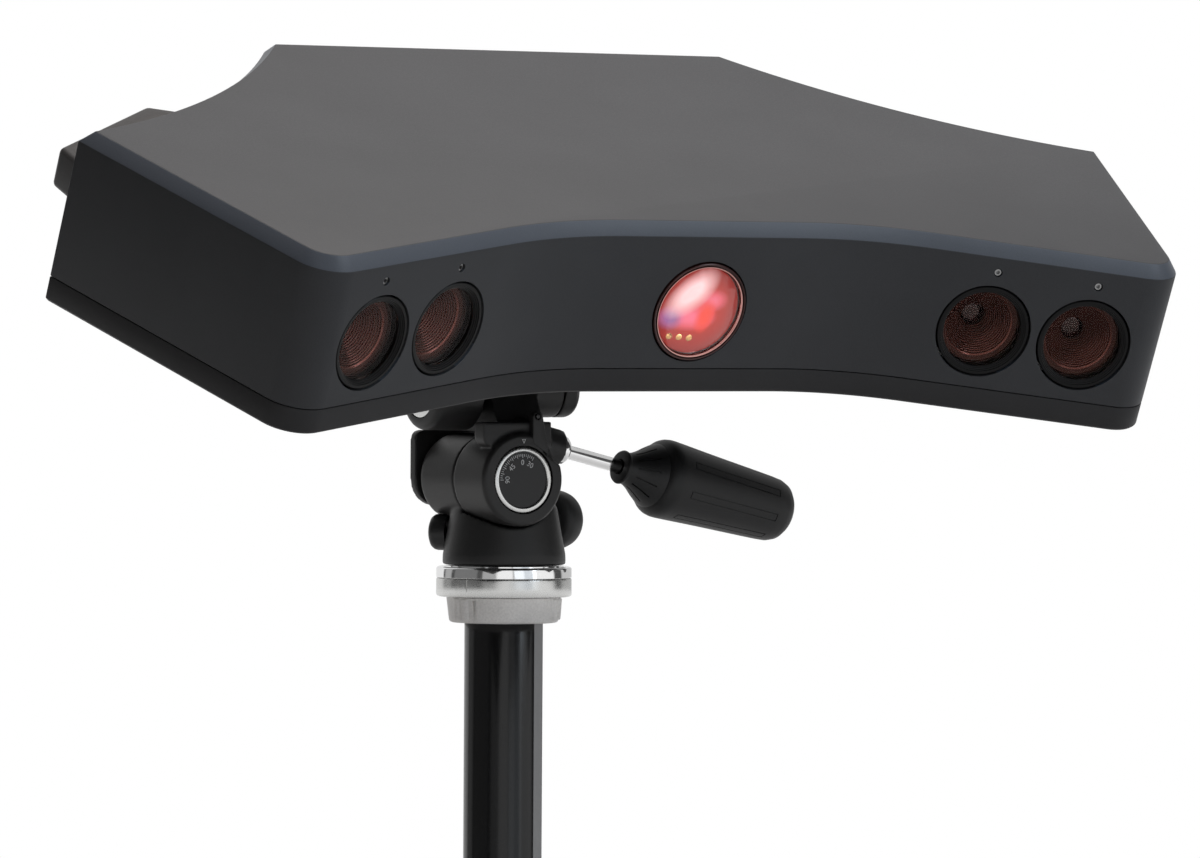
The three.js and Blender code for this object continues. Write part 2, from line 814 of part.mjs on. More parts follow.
function cameraLens() {
  const opening = barrelRadius - barrelWall;
  const stepIn = (opening - pupilRadius) / baffleRings;
  const baffle = [];
  for (let ring = 0; ring < baffleRings; ring += 1) {
    const depth = barrelFront + ring * baffleStep;
    baffle.push([opening - ring * stepIn, depth], [opening - ring * stepIn, depth + baffleStep]);
  }
  const pupil = barrelFront + baffleRings * baffleStep;
  baffle.push([pupilRadius, pupil], [0, pupil - pupilCrown]);
  const collarAt = barrelFront + barrelFrontLength;
  const mountAt = collarAt + barrelBackLength;
  return turned([
    ...baffle.reverse(), [barrelRadius, barrelFront], [barrelRadius, collarAt],
    [barrelBackRadius, collarAt], [barrelBackRadius, mountAt], [lensMountRadius, mountAt],
    [lensMountRadius, barrelBack], [0, barrelBack],
  ], smallSteps);
}

function cameraBody() {
  const half = cameraSide / 2;
  const start = barrelBack + fit;
  const body = raised(roundedRectangle(half, half, cameraChamfer), start, start + cameraLength, 2);
  const plug = disc(
    cameraPlugRadius, start + cameraLength - overrun, start + cameraLength + cameraPlugLength, smallSteps,
  );
  return joined(body, plug);
}

// Projector pieces, made about the projection axis with +Z into the housing

const projectorRingFront = -projectorRingProud;
const projectorRingBack = projectorRingFront + projectorRingDepth;
const projectorLensFront = projectorRingFront + projectorLensRecess;
const projectorLensRadius = projectorRingRadius - projectorRingWall - fit;
const projectorTubeFront = projectorRingBack + fit;
const projectorBoxFront = projectorTubeFront + projectorTubeLength / 2;

const projectorRing = () => turned([
  [projectorRingRadius - projectorRingWall, projectorRingFront],
  [projectorRingRadius - projectorRingWall / 2, projectorRingFront - projectorRingWall / 4],
  [projectorRingRadius, projectorRingFront], [projectorRingRadius, projectorRingBack],
  [projectorRingRadius - projectorRingWall - ringLip, projectorRingBack],
  [projectorRingRadius - projectorRingWall - ringLip, projectorLensFront + projectorLensEdge + fit],
  [projectorRingRadius - projectorRingWall, projectorLensFront + projectorLensEdge + fit],
]);

function projectorLens() {
  const dome = [];
  for (let i = 0; i <= projectorLensSteps; i += 1) {
    const share = i / projectorLensSteps;
    dome.push([projectorLensRadius * share, projectorLensFront - projectorLensCrown * (1 - share ** 2)]);
  }
  const back = projectorLensFront + projectorLensEdge;
  return turned([...dome, [projectorLensRadius, back], [0, back]]);
}

function projectorTube() {
  const inner = projectorTubeRadius - projectorTubeWall;
  return turned([
    [inner, projectorTubeFront], [projectorTubeRadius, projectorTubeFront],
    [projectorTubeRadius, projectorBoxFront - fit], [inner, projectorBoxFront - fit],
  ], smallSteps);
}

function projectorBody() {
  const half = projectorWidth / 2;
  const floor = benchTop + fit - lensHeight;
  const roof = projectorTop - lensHeight;
  const front = projectorBoxFront;
  const back = front + projectorLength;
  const box = block(-half, half, floor, roof, front, back);
  const bore = disc(ledBoardRadius + fit, front - overrun, front + projectorTubeLength / 2, smallSteps);
  const finPitch = projectorWidth / (2 * projectorFins);
  const grooves = Array.from({ length: projectorFins }, (_, i) => {
    const left = -half + finPitch / 2 + i * 2 * finPitch;
    return block(
      left, left + finPitch, roof - projectorFinDepth, roof + overrun, front - overrun, back + overrun,
    );
  });
  return cut(box, bore, ...grooves);
}

function ledBoard() {
  const front = projectorBoxFront + projectorTubeLength / 2 - ledBoardThickness - fit;
  const board = disc(ledBoardRadius, front, front + ledBoardThickness, smallSteps);
  const contacts = [-1, 0, 1].map((place) => (
    disc(ledContactRadius, front - ledContactHeight, front + ledBoardThickness / 2, screwSteps)
      .translate(ledBoardRadius / 4 + place * ledContactPitch, -ledBoardRadius / 2, 0)
  ));
  const emitter = block(
    -ledContactPitch, ledContactPitch, -ledContactPitch / 2, ledContactPitch, front - ledContactHeight,
    front + fit,
  );
  return joined(board, ...contacts, emitter);
}

// Fan behind the projector box, in the projector's frame

const fanFront = projectorBoxFront + projectorLength + fit;
const fanCentreHeight = (projectorTop + benchTop) / 2 - lensHeight;

function fanFrame() {
  const half = fanSide / 2;
  const frame = cut(
    raised(roundedRectangle(half, half, cameraChamfer), 0, fanThickness, 2),
    disc(fanBoreRadius, -overrun, fanThickness + overrun, smallSteps),
  );
  const armReach = fanBoreRadius + fanArmWidth / 2;
  const arms = [0, Math.PI / 2].map((angle) => (
    block(
      -armReach, armReach, -fanArmWidth / 2, fanArmWidth / 2, fanThickness - fanArmThickness, fanThickness,
    )
      .rotateZ(angle + Math.PI / 4)
  ));
  const hub = disc(fanHubRadius, fanThickness - fanArmThickness, fanThickness, smallSteps);
  const pin = disc(fanPinRadius, fanArmThickness, fanThickness - fanArmThickness / 2, screwSteps);
  return joined(frame, ...arms, hub, pin).translate(0, fanCentreHeight, fanFront);
}

function fanRotor() {
  const top = fanThickness - fanArmThickness - runningFit;
  const bottom = fanArmThickness / 2;
  const hub = cut(
    disc(fanHubRadius, bottom, top, smallSteps),
    disc(fanPinRadius + runningFit, fanArmThickness - runningFit, top + overrun, screwSteps),
  );
  const bladeHeight = (top - bottom) * fanBladeHeightShare;
  const blades = ringOfPlaces(fanBlades, (angle) => {
    const blade = block(
      fanHubRadius - fit * 2, fanTipRadius, -fanBladeThickness / 2, fanBladeThickness / 2, -bladeHeight / 2,
      bladeHeight / 2,
    );
    return blade.rotateX(fanBladePitch).translate(0, 0, (top + bottom) / 2).rotateZ(angle);
  });
  return joined(hub, ...blades).translate(0, fanCentreHeight, fanFront);
}

// Electronics

function boardPostPlaces() {
  const [w, l] = [boardWidth / 2 - 2 * boardPostRadius, boardLength / 2 - 2 * boardPostRadius];
  const middle = backDepth - coverWall - boardBackGap - boardLength / 2;
  return [[w, l], [-w, l], [w, -l], [-w, -l]].map(([x, y]) => new THREE.Vector2(x, middle + y));
}

function mainBoard() {
  const back = backDepth - coverWall - boardBackGap;
  const top = boardHeight + boardThickness;
  const board = block(-boardWidth / 2, boardWidth / 2, back - boardLength, back, boardHeight, top);
  const middle = back - boardLength / 2;
  const chips = [-1, 0, 1].map((place) => {
    const x = (place * boardWidth) / 3;
    const height = chipHeight / (1 + Math.abs(place));
    return block(
      x - chipSide / 2, x + chipSide / 2, middle - chipSide / 2, middle + chipSide / 2,
      boardHeight + boardThickness / 2, top + height,
    );
  });
  return joined(board, ...chips);
}

function powerSupply() {
  const { along, outward, middle } = rearWallFrame(1);
  const outer = -rearSagitta - coverWall - supplyGap;
  const box = block(
    -supplyWidth / 2, supplyWidth / 2, outer - supplyLength, outer,
    trayFloor + fit, trayFloor + fit + supplyHeight,
  );
  const standing = new THREE.Matrix4().makeBasis(along.negate(), outward, new THREE.Vector3(0, 0, 1));
  return box.applyMatrix4(standing.setPosition(middle));
}

// Rear connector panel, behind a window in the back wall

const panelBack = backDepth - coverWall - fit;
const panelFront = panelBack - panelThickness;
const socketFront = panelFront - socketDepth;

function connectorPanel() {
  const plate = block(
    -panelWidth / 2, panelWidth / 2, panelFront, panelBack,
    panelMiddle - panelHeight / 2, panelMiddle + panelHeight / 2,
  );
  const tool = (halfWidth, halfHeight, across) => block(
    across - halfWidth, across + halfWidth, panelFront - overrun, panelBack + overrun,
    panelMiddle - halfHeight, panelMiddle + halfHeight,
  );
  const inletHole = alongY(
    disc(inletRadius + fit, -overrun, panelThickness + overrun), inletAcross, panelFront, panelMiddle,
  );
  return cut(
    plate, inletHole,
    tool(dataWidth / 2 + fit, dataHeight / 2 + fit, dataAcross),
    tool(switchWidth / 2 + fit, switchHeight / 2 + fit, switchAcross),
  );
}

function powerInlet() {
  const depth = panelThickness + socketDepth;
  const floor = panelThickness;
  return alongY(turned([
    [0, 0], [inletRadius, 0], [inletRadius, depth], [inletBoreRadius, depth], [inletBoreRadius, floor],
    [inletPinRadius, floor], [inletPinRadius, depth - inletPinRadius], [0, depth - inletPinRadius],
  ]), inletAcross, socketFront, panelMiddle);
}

function dataSocket() {
  const [w, h] = [dataWidth / 2, dataHeight / 2];
  const front = socketFront;
  const shell = block(dataAcross - w, dataAcross + w, front, panelBack, panelMiddle - h, panelMiddle + h);
  const mouth = block(
    dataAcross - w + dataWall, dataAcross + w - dataWall, front + dataWall, panelBack + overrun,
    panelMiddle - h + dataWall, panelMiddle + h - dataWall,
  );
  return cut(shell, mouth);
}

const rockerAxis = () => new THREE.Vector3(switchAcross, panelFront, panelMiddle);

function switchFrame() {
  const [w, h] = [switchWidth / 2, switchHeight / 2];
  const front = socketFront - rockerDepth / 2;
  const shell = block(switchAcross - w, switchAcross + w, front, panelBack, panelMiddle - h, panelMiddle + h);
  const well = block(
    switchAcross - w + switchWall, switchAcross + w - switchWall, front + switchWall, panelBack + overrun,
    panelMiddle - h + switchWall, panelMiddle + h - switchWall,
  );
  const pin = alongX(
    disc(rockerPinRadius, -w + switchWall / 2, w - switchWall / 2, screwSteps), ...rockerAxis(),
  );
  return joined(cut(shell, well), pin);
}

function switchRocker() {
  const halfWidth = switchWidth / 2 - switchWall - runningFit;
  const halfHeight = switchHeight / 2 - switchWall - 2 * runningFit;
  const face = panelThickness;
  const outline = new THREE.Shape();
  outline.moveTo(-face, -halfHeight);
  outline.lineTo(face, -halfHeight);
  outline.lineTo(face - rockerCrown / 2, 0);
  outline.lineTo(face + rockerCrown / 3, halfHeight);
  outline.lineTo(-face, halfHeight);
  outline.lineTo(-rockerDepth + runningFit, 0);
  const prism = raised(outline, -halfWidth, halfWidth);
  const standing = new THREE.Matrix4().makeBasis(
    new THREE.Vector3(0, 1, 0), new THREE.Vector3(0, 0, 1), new THREE.Vector3(1, 0, 0),
  );
  const bore = alongX(disc(rockerPinRadius + runningFit, -switchWidth, switchWidth, screwSteps), 0, 0, 0);
  return cut(prism.applyMatrix4(standing), bore).translate(...rockerAxis());
}

// Carry handles

function carryHandle(side) {
  const { along, outward, middle } = rearWallFrame(side);
  const inner = handleReach - handleThickness;
  const slope = (handleFootHalf - handleBarHalf) / handleReach;
  const foot = -rearSagitta - coverWall;
  const outerFoot = handleBarHalf + slope * (handleReach - foot);
  const innerBar = handleBarHalf - handleThickness * handleBarInsetShare;
  const innerFoot = outerFoot - handleThickness * handleFootInsetShare;
  const shape = new THREE.Shape([
    [-outerFoot, foot], [-handleBarHalf, handleReach], [handleBarHalf, handleReach], [outerFoot, foot],
    [innerFoot, foot], [innerBar, inner], [-innerBar, inner], [-innerFoot, foot],
  ].map(([u, n]) => new THREE.Vector2(u, n)));
  const half = handleHeight / 2;
  const bar = new THREE.ExtrudeGeometry(shape, {
    depth: handleHeight - 2 * handleChamfer, bevelEnabled: true, bevelSegments: 1,
    bevelThickness: handleChamfer, bevelSize: handleChamfer, bevelOffset: -handleChamfer,
  }).translate(0, 0, handleChamfer - half);
  const frame = new THREE.Matrix4().makeBasis(
    along, outward, new THREE.Vector3(0, 0, 1),
  ).setPosition(middle.x, middle.y, handleMiddle);
  const wall = housingPrism(-fit, handleMiddle - handleHeight, handleMiddle + handleHeight);
  return cut(bar.applyMatrix4(frame), wall);
}

// Mounting block and quick-release plate, in the frame of the front-tilt axis

function blockScrewPlaces() {
  const [w, d] = [blockFlangeHalfWidth - blockScrewInset, blockFlangeHalfDepth - blockScrewInset];
  return [[w, d], [-w, d], [w, -d], [-w, -d]].map(([x, y]) => new THREE.Vector2(x, y));
}

function mountingBlock() {
  const top = axisToHousing - fit;
  const flange = raised(
    roundedRectangle(blockFlangeHalfWidth, blockFlangeHalfDepth, blockCorner), top - blockFlange, top,
  );
  const pillar = raised(
    roundedRectangle(blockHalfWidth, blockHalfDepth, blockCorner), blockBottom, top - blockFlange / 2,
  );
  const holes = blockScrewPlaces().map((p) => (
    disc(
      blockScrewRadius + fit, top - blockFlange - overrun, top + overrun, screwSteps,
    ).translate(p.x, p.y, 0)
  ));
  const tapped = disc(
    plateScrewRadius + fit, blockBottom - overrun, blockBottom + plateScrewReach + fit, smallSteps,
  );
  return cut(joined(flange, pillar), ...holes, tapped);
}

function quickReleasePlate() {
  const top = plateBottom + plateThickness;
  const section = new THREE.Shape([
    [-plateHalfWidth, plateBottom], [plateHalfWidth, plateBottom],
    [plateHalfWidth - plateSlope, top - plateThickness / 3], [plateHalfWidth - plateSlope, top],
    [-plateHalfWidth + plateSlope, top], [-plateHalfWidth + plateSlope, top - plateThickness / 3],
  ].map(([x, z]) => new THREE.Vector2(x, z)));
  const bar = raised(section, -plateHalfDepth, plateHalfDepth).rotateX(Math.PI / 2);
  const recess = disc(
    plateScrewHeadRadius + fit, plateBottom - overrun, plateBottom + plateScrewHeadHeight + 2 * fit,
    smallSteps,
  );
  const hole = disc(plateScrewRadius + fit, plateBottom - overrun, top + overrun, smallSteps);
  return cut(bar, recess, hole);
}

const plateScrew = () => panHeadScrew(
  plateScrewHeadRadius, plateScrewHeadHeight, plateScrewRadius,
  plateThickness - plateScrewHeadHeight + plateScrewReach,
).translate(0, 0, plateBottom + fit);

function tiltCarrier() {
  const drumLength = drumRight - drumLeft;
  const drum = turned([
    [0, 0], [drumRadius - drumRounding, 0], [drumRadius - drumRounding / 4, drumRounding / 4],
    [drumRadius, drumRounding], [drumRadius, drumLength], [0, drumLength],
  ]);
  const lugLength = lugRight - lugLeft;
  const lug = turned([
    [0, 0], [lugRadius, 0], [lugRadius, lugLength - lugRounding],
    [lugRadius - lugRounding / 4, lugLength - lugRounding / 4], [lugRadius - lugRounding, lugLength],
    [0, lugLength],
  ]);
  const half = (lugRight - drumLeft) / 2;
  const middle = (lugRight + drumLeft) / 2;
  const deck = raised(
    roundedRectangle(half, deckHalfDepth, deckCorner), deckUnder, deckTop,
  ).translate(middle, 0, 0);
  const drumWeb = block(
    drumLeft + drumRounding, drumRight, -drumRadius + drumRounding, drumRadius - drumRounding, 0,
    deckTop - overrun,
  );
  const lugWeb = block(lugLeft, lugRight - lugRounding, -lugRadius, lugRadius, 0, deckTop - overrun);
  const railLeft = plateHalfWidth + fit;
  const railSection = new THREE.Shape([
    [railLeft, deckTop - overrun], [railLeft + railWidth, deckTop - overrun],
    [railLeft + railWidth, deckTop + railHeight],
    [railLeft - plateSlope + fit, deckTop + railHeight], [railLeft, deckTop],
  ].map(([x, z]) => new THREE.Vector2(x, z)));
  const railEnd = deckHalfDepth - deckCorner;
  const rail = raised(railSection, -railEnd, railEnd).rotateX(Math.PI / 2);
  const bore = alongX(disc(axleRadius + fit, drumLeft - overrun, lugRight + overrun, smallSteps), 0, 0, 0);
  const capSeat = alongX(
    disc(axleCapRadius + fit, drumLeft - overrun, drumLeft + axleCapThickness + fit), 0, 0, 0,
  );
  const leverHole = disc(
    leverScrewRadius + fit, deckTop - leverScrewReach - fit, deckTop + overrun, screwSteps,
  )
    .translate(leverPivotAcross, leverPivotDepth, 0);
  const body = joined(alongX(drum, drumLeft, 0, 0), alongX(lug, lugLeft, 0, 0), deck, drumWeb, lugWeb);
  return cut(joined(body, cut(rail, plateClearance())), bore, capSeat, leverHole);
}

// The dovetail of the plate, with its clearance, cut from the rail
const plateClearance = () => raised(new THREE.Shape([
  [0, plateBottom - fit], [plateHalfWidth + fit, plateBottom - fit],
  [plateHalfWidth - plateSlope + fit, plateBottom + (plateThickness * 2) / 3],
  [plateHalfWidth - plateSlope + fit, blockBottom], [0, blockBottom],
].map(([x, z]) => new THREE.Vector2(x, z))), -plateHalfDepth, plateHalfDepth).rotateX(Math.PI / 2);

function tiltAxle() {
  const end = lugRight + fit;
  return alongX(turned([
    [0, drumLeft], [axleCapRadius - axleCapThickness / 4, drumLeft],
    [axleCapRadius, drumLeft + axleCapThickness / 4],
    [axleCapRadius, drumLeft + axleCapThickness], [axleRadius, drumLeft + axleCapThickness],
    [axleRadius, end],
    [axleButtonRadius, end], [axleButtonRadius - axleButtonThickness / 2, end + axleButtonThickness],
    [0, end + axleButtonThickness],
  ]), 0, 0, 0);
}

const barrelTubeLeft = rollAcross + bridgeLeft;

const tiltWasher = () => alongX(turned([
  [axleRadius + fit, drumRight + fit], [washerRadius, drumRight + fit],
  [washerRadius, barrelTubeLeft - runningFit], [axleRadius + fit, barrelTubeLeft - runningFit],
]), 0, 0, 0);

function quickReleaseLever() {
  const bottom = deckTop + fit;
  const camRadius = plateHalfWidth + leverPivotAcross + fit;
  const shape = new THREE.Shape();
  shape.absarc(0, 0, -camRadius, -0.75 * Math.PI, 0.25 * Math.PI);
  shape.lineTo(0, leverLength - leverTipWidth / 2);
  shape.absarc(-leverTipWidth / 2, leverLength - leverTipWidth / 2, leverTipWidth / 2, 0, Math.PI);
  shape.lineTo(-leverWidth, 0);
  const hole = disc(leverScrewRadius + fit, bottom - overrun, bottom + leverThickness + overrun, smallSteps);
  return cut(
    raised(shape, bottom, bottom + leverThickness), hole,
  ).translate(leverPivotAcross, leverPivotDepth, 0);
}

const leverScrew = () => panHeadScrew(
  leverScrewHeadRadius, leverScrewHeadHeight, leverScrewRadius, leverThickness + leverScrewReach,
)
  .rotateX(Math.PI)
  .translate(leverPivotAcross, leverPivotDepth, deckTop + 2 * fit + leverThickness + leverScrewHeadHeight);

// Side-tilt bracket, in the frame of the side-tilt axis

const handleDirection = new THREE.Vector3(
  Math.cos(handleDroop) * Math.cos(handleYaw), Math.cos(handleDroop) * Math.sin(handleYaw),
  -Math.sin(handleDroop),
);
const bossEnd = new THREE.Vector3(bossEndAcross, bossEndDepth, bossEndHeight);

function sideTiltBracket() {
  const frontDrum = turned([
    [0, frontDrumFront], [frontDrumRadius - frontDrumChamfer, frontDrumFront],
    [frontDrumRadius, frontDrumFront + frontDrumChamfer],
    [frontDrumRadius, frontDrumBack], [0, frontDrumBack],
  ]).rotateX(-Math.PI / 2);
  const shoulder = block(neckLeft, neckRight, neckFront, neckBack, neckRoot, neckTop);
  const cornerTool = block(
    neckLeft - overrun, neckLeft + neckCorner, neckFront - overrun, neckFront + neckCorner,
    neckRoot - overrun, neckTop + overrun,
  );
  const cornerRound = disc(
    neckCorner, neckRoot, neckTop, smallSteps,
  ).translate(neckLeft + neckCorner, neckFront + neckCorner, 0);
  const roundedShoulder = joined(cut(shoulder, cornerTool), cornerRound);
  const profile = new THREE.Shape([
    [neckFront, neckRoot], [frontDrumBack, neckRoot], [frontDrumBack, bridgeUnder],
    [rearPlateBack, bridgeUnder],
    [rearPlateBack, bridgeTop], [barrelTubeRadius + 2 * fit, bridgeTop],
    [barrelTubeRadius * barrelSaddleShare, tiltRise],
    [-barrelTubeRadius * barrelSaddleShare, tiltRise], [neckBack, neckTop], [neckFront, neckTop],
  ].map(([y, z]) => new THREE.Vector2(y, z)));
  const standing = new THREE.Matrix4().makeBasis(
    new THREE.Vector3(0, 1, 0), new THREE.Vector3(0, 0, 1), new THREE.Vector3(1, 0, 0),
  );
  const bridge = raised(profile, bridgeLeft, neckRight).applyMatrix4(standing);
  const barrelRight = lugLeft - rollAcross - runningFit;
  const barrelTube = alongX(disc(barrelTubeRadius, bridgeLeft, barrelRight), 0, 0, tiltRise);
  const plateOutline = new THREE.Shape();
  plateOutline.absarc(0, 0, rearPlateRadius, Math.PI, 2 * Math.PI);
  plateOutline.absarc(
    rearPlateRadius - rearPlateCorner, rearPlateTop - rearPlateCorner, rearPlateCorner, 0, Math.PI / 2,
  );
  plateOutline.absarc(
    -rearPlateRadius + rearPlateCorner, rearPlateTop - rearPlateCorner, rearPlateCorner, Math.PI / 2,
    Math.PI,
  );
  const facingBack = new THREE.Matrix4().makeBasis(
    new THREE.Vector3(1, 0, 0), new THREE.Vector3(0, 0, 1), new THREE.Vector3(0, -1, 0),
  );
  const rearPlate = raised(
    plateOutline, -rearPlateBack, -rearPlateFront, roundSteps / 2,
  ).applyMatrix4(facingBack);
  const tabWidth = tabRight - tabLeft;
  const tabBack = frontDrumFront + tabThickness;
  const tab = joined(
    block(tabLeft, tabRight, frontDrumFront, tabBack, neckRoot, tabTop - tabWidth / 2),
    alongY(
      disc(tabWidth / 2, 0, tabThickness, smallSteps), (tabLeft + tabRight) / 2, frontDrumFront,
      tabTop - tabWidth / 2,
    ),
  );
  const boss = aimed(disc(clampBossRadius, -clampBossLength, 0), bossEnd, handleDirection);
  const body = joined(frontDrum, roundedShoulder, bridge, barrelTube, rearPlate, tab, boss);
  const dialSeat = alongY(disc(dialRingRadius + runningFit, -overrun, dialRecess), 0, frontDrumFront, 0);
  const shaftBore = alongY(
    disc(shaftRadius + runningFit, frontDrumFront - overrun, rearPlateBack + overrun, smallSteps), 0, 0, 0,
  );
  const axleBore = alongX(
    disc(axleRadius + runningFit, bridgeLeft - overrun, barrelRight + overrun, smallSteps), 0, 0, tiltRise,
  );
  const rodBore = aimed(
    disc(rodRadius + runningFit, -rodBuried - runningFit, overrun, smallSteps), bossEnd, handleDirection,
  );
  const pointerMark = pointerTriangle();
  return cut(body, dialSeat, shaftBore, axleBore, rodBore, pointerMark);
}

// Small engraved triangle above the dial
function pointerTriangle() {
  const lowest = dialRingRadius + (frontDrumRadius - dialRingRadius) / 4;
  const shape = new THREE.Shape([
    [0, lowest], [pointerWidth / 2, lowest + pointerWidth], [-pointerWidth / 2, lowest + pointerWidth],
  ].map(([x, z]) => new THREE.Vector2(x, z)));
  return raised(shape, -frontDrumFront - pointerDepth, -frontDrumFront + overrun).rotateX(Math.PI / 2);
}

// Side-tilt locking handle, made along +Z from the end of its boss

const gripStart = rodVisible + ferruleLength;

function handleRod() {
  const end = gripStart + gripLength / 3;
  const edge = collarLength * collarEdgeShare;
  return turned([
    [0, -rodBuried], [rodRadius, -rodBuried], [rodRadius, fit],
    [collarRadius - edge, fit], [collarRadius, edge], [collarRadius, collarLength - edge],
    [collarRadius - edge, collarLength],
    [rodRadius, collarLength], [rodRadius, end], [0, end],
  ], smallSteps);
}

function handleFerrule() {
  const end = gripStart - fit;
  const body = turned([
    [rodRadius + fit, rodVisible], [ferruleLipRadius, rodVisible],
    [ferruleLipRadius, rodVisible + ferruleLipLength],
    [ferruleRadius, rodVisible + ferruleLipLength + fit],
    [ferruleWaistRadius, rodVisible + ferruleWaistLength],
    ...ferruleFlareShares.map((share, step) => (
      [ferruleFlareRadius + ferruleFlareStep * step, rodVisible + ferruleLength * share]
    )),
    [ferruleEndRadius, end], [rodRadius + fit, end],
  ]);
  const slots = ringOfPlaces(ferruleSlots, (angle) => (
    block(
      -ferruleSlotDepth, overrun, -ferruleSlotWidth / 2, ferruleSlotWidth / 2, 0, ferruleSlotLength,
    )
      .rotateY(ferruleSlotLean)
      .translate(ferruleWaistRadius, 0, rodVisible + ferruleSlotStart)
      .rotateZ(angle)
  ));
  return cut(body, ...slots);
}

function handleGrip() {
  const end = gripStart + gripLength;
  const [swell, shoulder] = gripSwellShares;
  const bore = rodRadius + fit;
  const boreEnd = gripStart + gripLength / 3 + fit;
  const body = turned([
    [bore, gripStart], [ferruleEndRadius, gripStart],
    [(ferruleEndRadius + gripShoulderRadius * 2) / 3, gripStart + gripShoulderAt * swell],
    [gripShoulderRadius - fit, gripStart + gripShoulderAt * shoulder],
    [gripShoulderRadius, gripStart + gripShoulderAt],
    [gripEndRadius, end - gripEndRounding], [gripEndRadius - gripEndRounding / 3, end - gripEndRounding / 3],
    [gripEndRadius - gripEndRounding, end], [0, end], [0, boreEnd], [bore, boreEnd],
  ]);
  const lean = Math.atan2(gripShoulderRadius - gripEndRadius, gripLength - gripShoulderAt - gripEndRounding);
  const flutes = ringOfPlaces(gripFlutes, (angle) => (
    block(-gripFluteDepth, overrun, -gripFluteWidth / 2, gripFluteWidth / 2, 0, gripFluteEnd - gripFluteStart)
      .rotateY(-lean)
      .translate(gripShoulderRadius, 0, gripStart + gripFluteStart)
      .rotateZ(angle)
  ));
  return cut(body, ...flutes);
}

// Side-tilt shaft and its dial, fixed to the pan body

const dialFront = frontDrumFront + dialRecess - dialThickness - fit;

function sideTiltShaft() {
  const start = dialFront + dialThickness + fit;
  const nutStart = rearPlateBack + fit;
  const nutEnd = nutStart + shaftNutThickness;
  return turned([
    [0, start], [shaftRadius, start], [shaftRadius, nutStart],
    [shaftNutRadius, nutStart], [shaftNutRadius, nutEnd - shaftNutChamfer],
    [shaftNutRadius - shaftNutChamfer, nutEnd], [0, nutEnd],
  ], smallSteps).rotateX(-Math.PI / 2);
}

const dialRing = () => turned([
  [dialRingRadius - dialRingWall, dialFront],
  [dialRingRadius - dialRingWall / 2, dialFront - dialRingWall / 4],
  [dialRingRadius, dialFront], [dialRingRadius, dialFront + dialThickness],
  [dialRingRadius - dialRingWall, dialFront + dialThickness],
]).rotateX(-Math.PI / 2);

const dialFace = () => disc(
  dialRingRadius - dialRingWall - fit, dialFront + dialRingWall / 4, dialFront + dialThickness,
).rotateX(-Math.PI / 2);

// Pan body with the rear half of the side-tilt barrel, in world places

const knobDirection = (angle) => new THREE.Vector3(Math.cos(angle), Math.sin(angle), 0);

function panBody() {
  const base = turned([
    [0, panBottom], [panBodyRadius, panBottom], [panBodyRadius, panBottom + panBodyFlange],
    [(panBodyRadius * 2 + panNeckRadius) / 3, panBottom + panBodyFlange * 2],
    [panNeckRadius, panBottom + panNeckHeight],
    [panTopRadius, panBottom + panTopHeight], [0, panBottom + panTopHeight],
  ]);
  const barrelLength = panBarrelBack - panBarrelFront;
  const barrel = alongY(turned([
    [0, 0], [panBarrelRadius, 0], [panBarrelRadius, barrelLength - panBarrelRounding],
    [panBarrelRadius - panBarrelRounding / 4, barrelLength - panBarrelRounding / 4],
    [panBarrelRadius - panBarrelRounding, barrelLength], [0, barrelLength],
  ]), rollAcross, panBarrelFront, rollHeight);
  const lockBoss = aimed(
    disc(knobBossRadius, panNeckRadius / 2, lockKnobStart - runningFit, smallSteps),
    new THREE.Vector3(0, 0, lockKnobHeight), knobDirection(lockKnobAngle),
  );
  const body = joined(base, barrel, lockBoss);
  const drumRoom = alongY(
    disc(frontDrumRadius + 2 * runningFit, 0, -frontDrumFront), rollAcross, frontDrumFront + panBarrelFront,
    rollHeight,
  );
  const shaftBore = alongY(
    disc(shaftRadius + fit, panBarrelFront - overrun, panBarrelBack + overrun, smallSteps), rollAcross, 0,
    rollHeight,
  );
  const spigotBore = disc(spigotRadius + runningFit, panBottom - overrun, panBottom + spigotHeight);
  const lockBore = aimed(
    disc(
      lockStudRadius + runningFit, lockKnobStart - lockStudBuried - runningFit, lockKnobStart + overrun,
      smallSteps,
    ),
    new THREE.Vector3(0, 0, lockKnobHeight), knobDirection(lockKnobAngle),
  );
  const frictionSeat = aimed(
    disc(
      frictionKnobRadius + runningFit, frictionKnobStart - runningFit,
      frictionKnobStart + frictionKnobLength + overrun,
    ),
    new THREE.Vector3(0, 0, frictionKnobHeight), knobDirection(frictionKnobAngle),
  );
  const frictionBore = aimed(
    disc(
      frictionStudRadius + runningFit, frictionKnobStart - frictionStudBuried - runningFit,
      frictionKnobStart + overrun, screwSteps,
    ),
    new THREE.Vector3(0, 0, frictionKnobHeight), knobDirection(frictionKnobAngle),
  );
  return cut(body, drumRoom, shaftBore, spigotBore, lockBore, frictionSeat, frictionBore);
}

function panLockKnob() {
  const [start, end] = [lockKnobStart, lockKnobStart + lockKnobLength];
  return aimed(turned([
    [0, start - lockStudBuried], [lockStudRadius, start - lockStudBuried], [lockStudRadius, start],
    [lockKnobFaceRadius, start], [lockKnobEdgeRadius, start + lockKnobEdge],
    [lockKnobRadius, start + lockKnobLength / 2], [lockKnobEdgeRadius, end - lockKnobEdge],
    [lockKnobFaceRadius, end], [0, end],
  ]), new THREE.Vector3(0, 0, lockKnobHeight), knobDirection(lockKnobAngle));
}

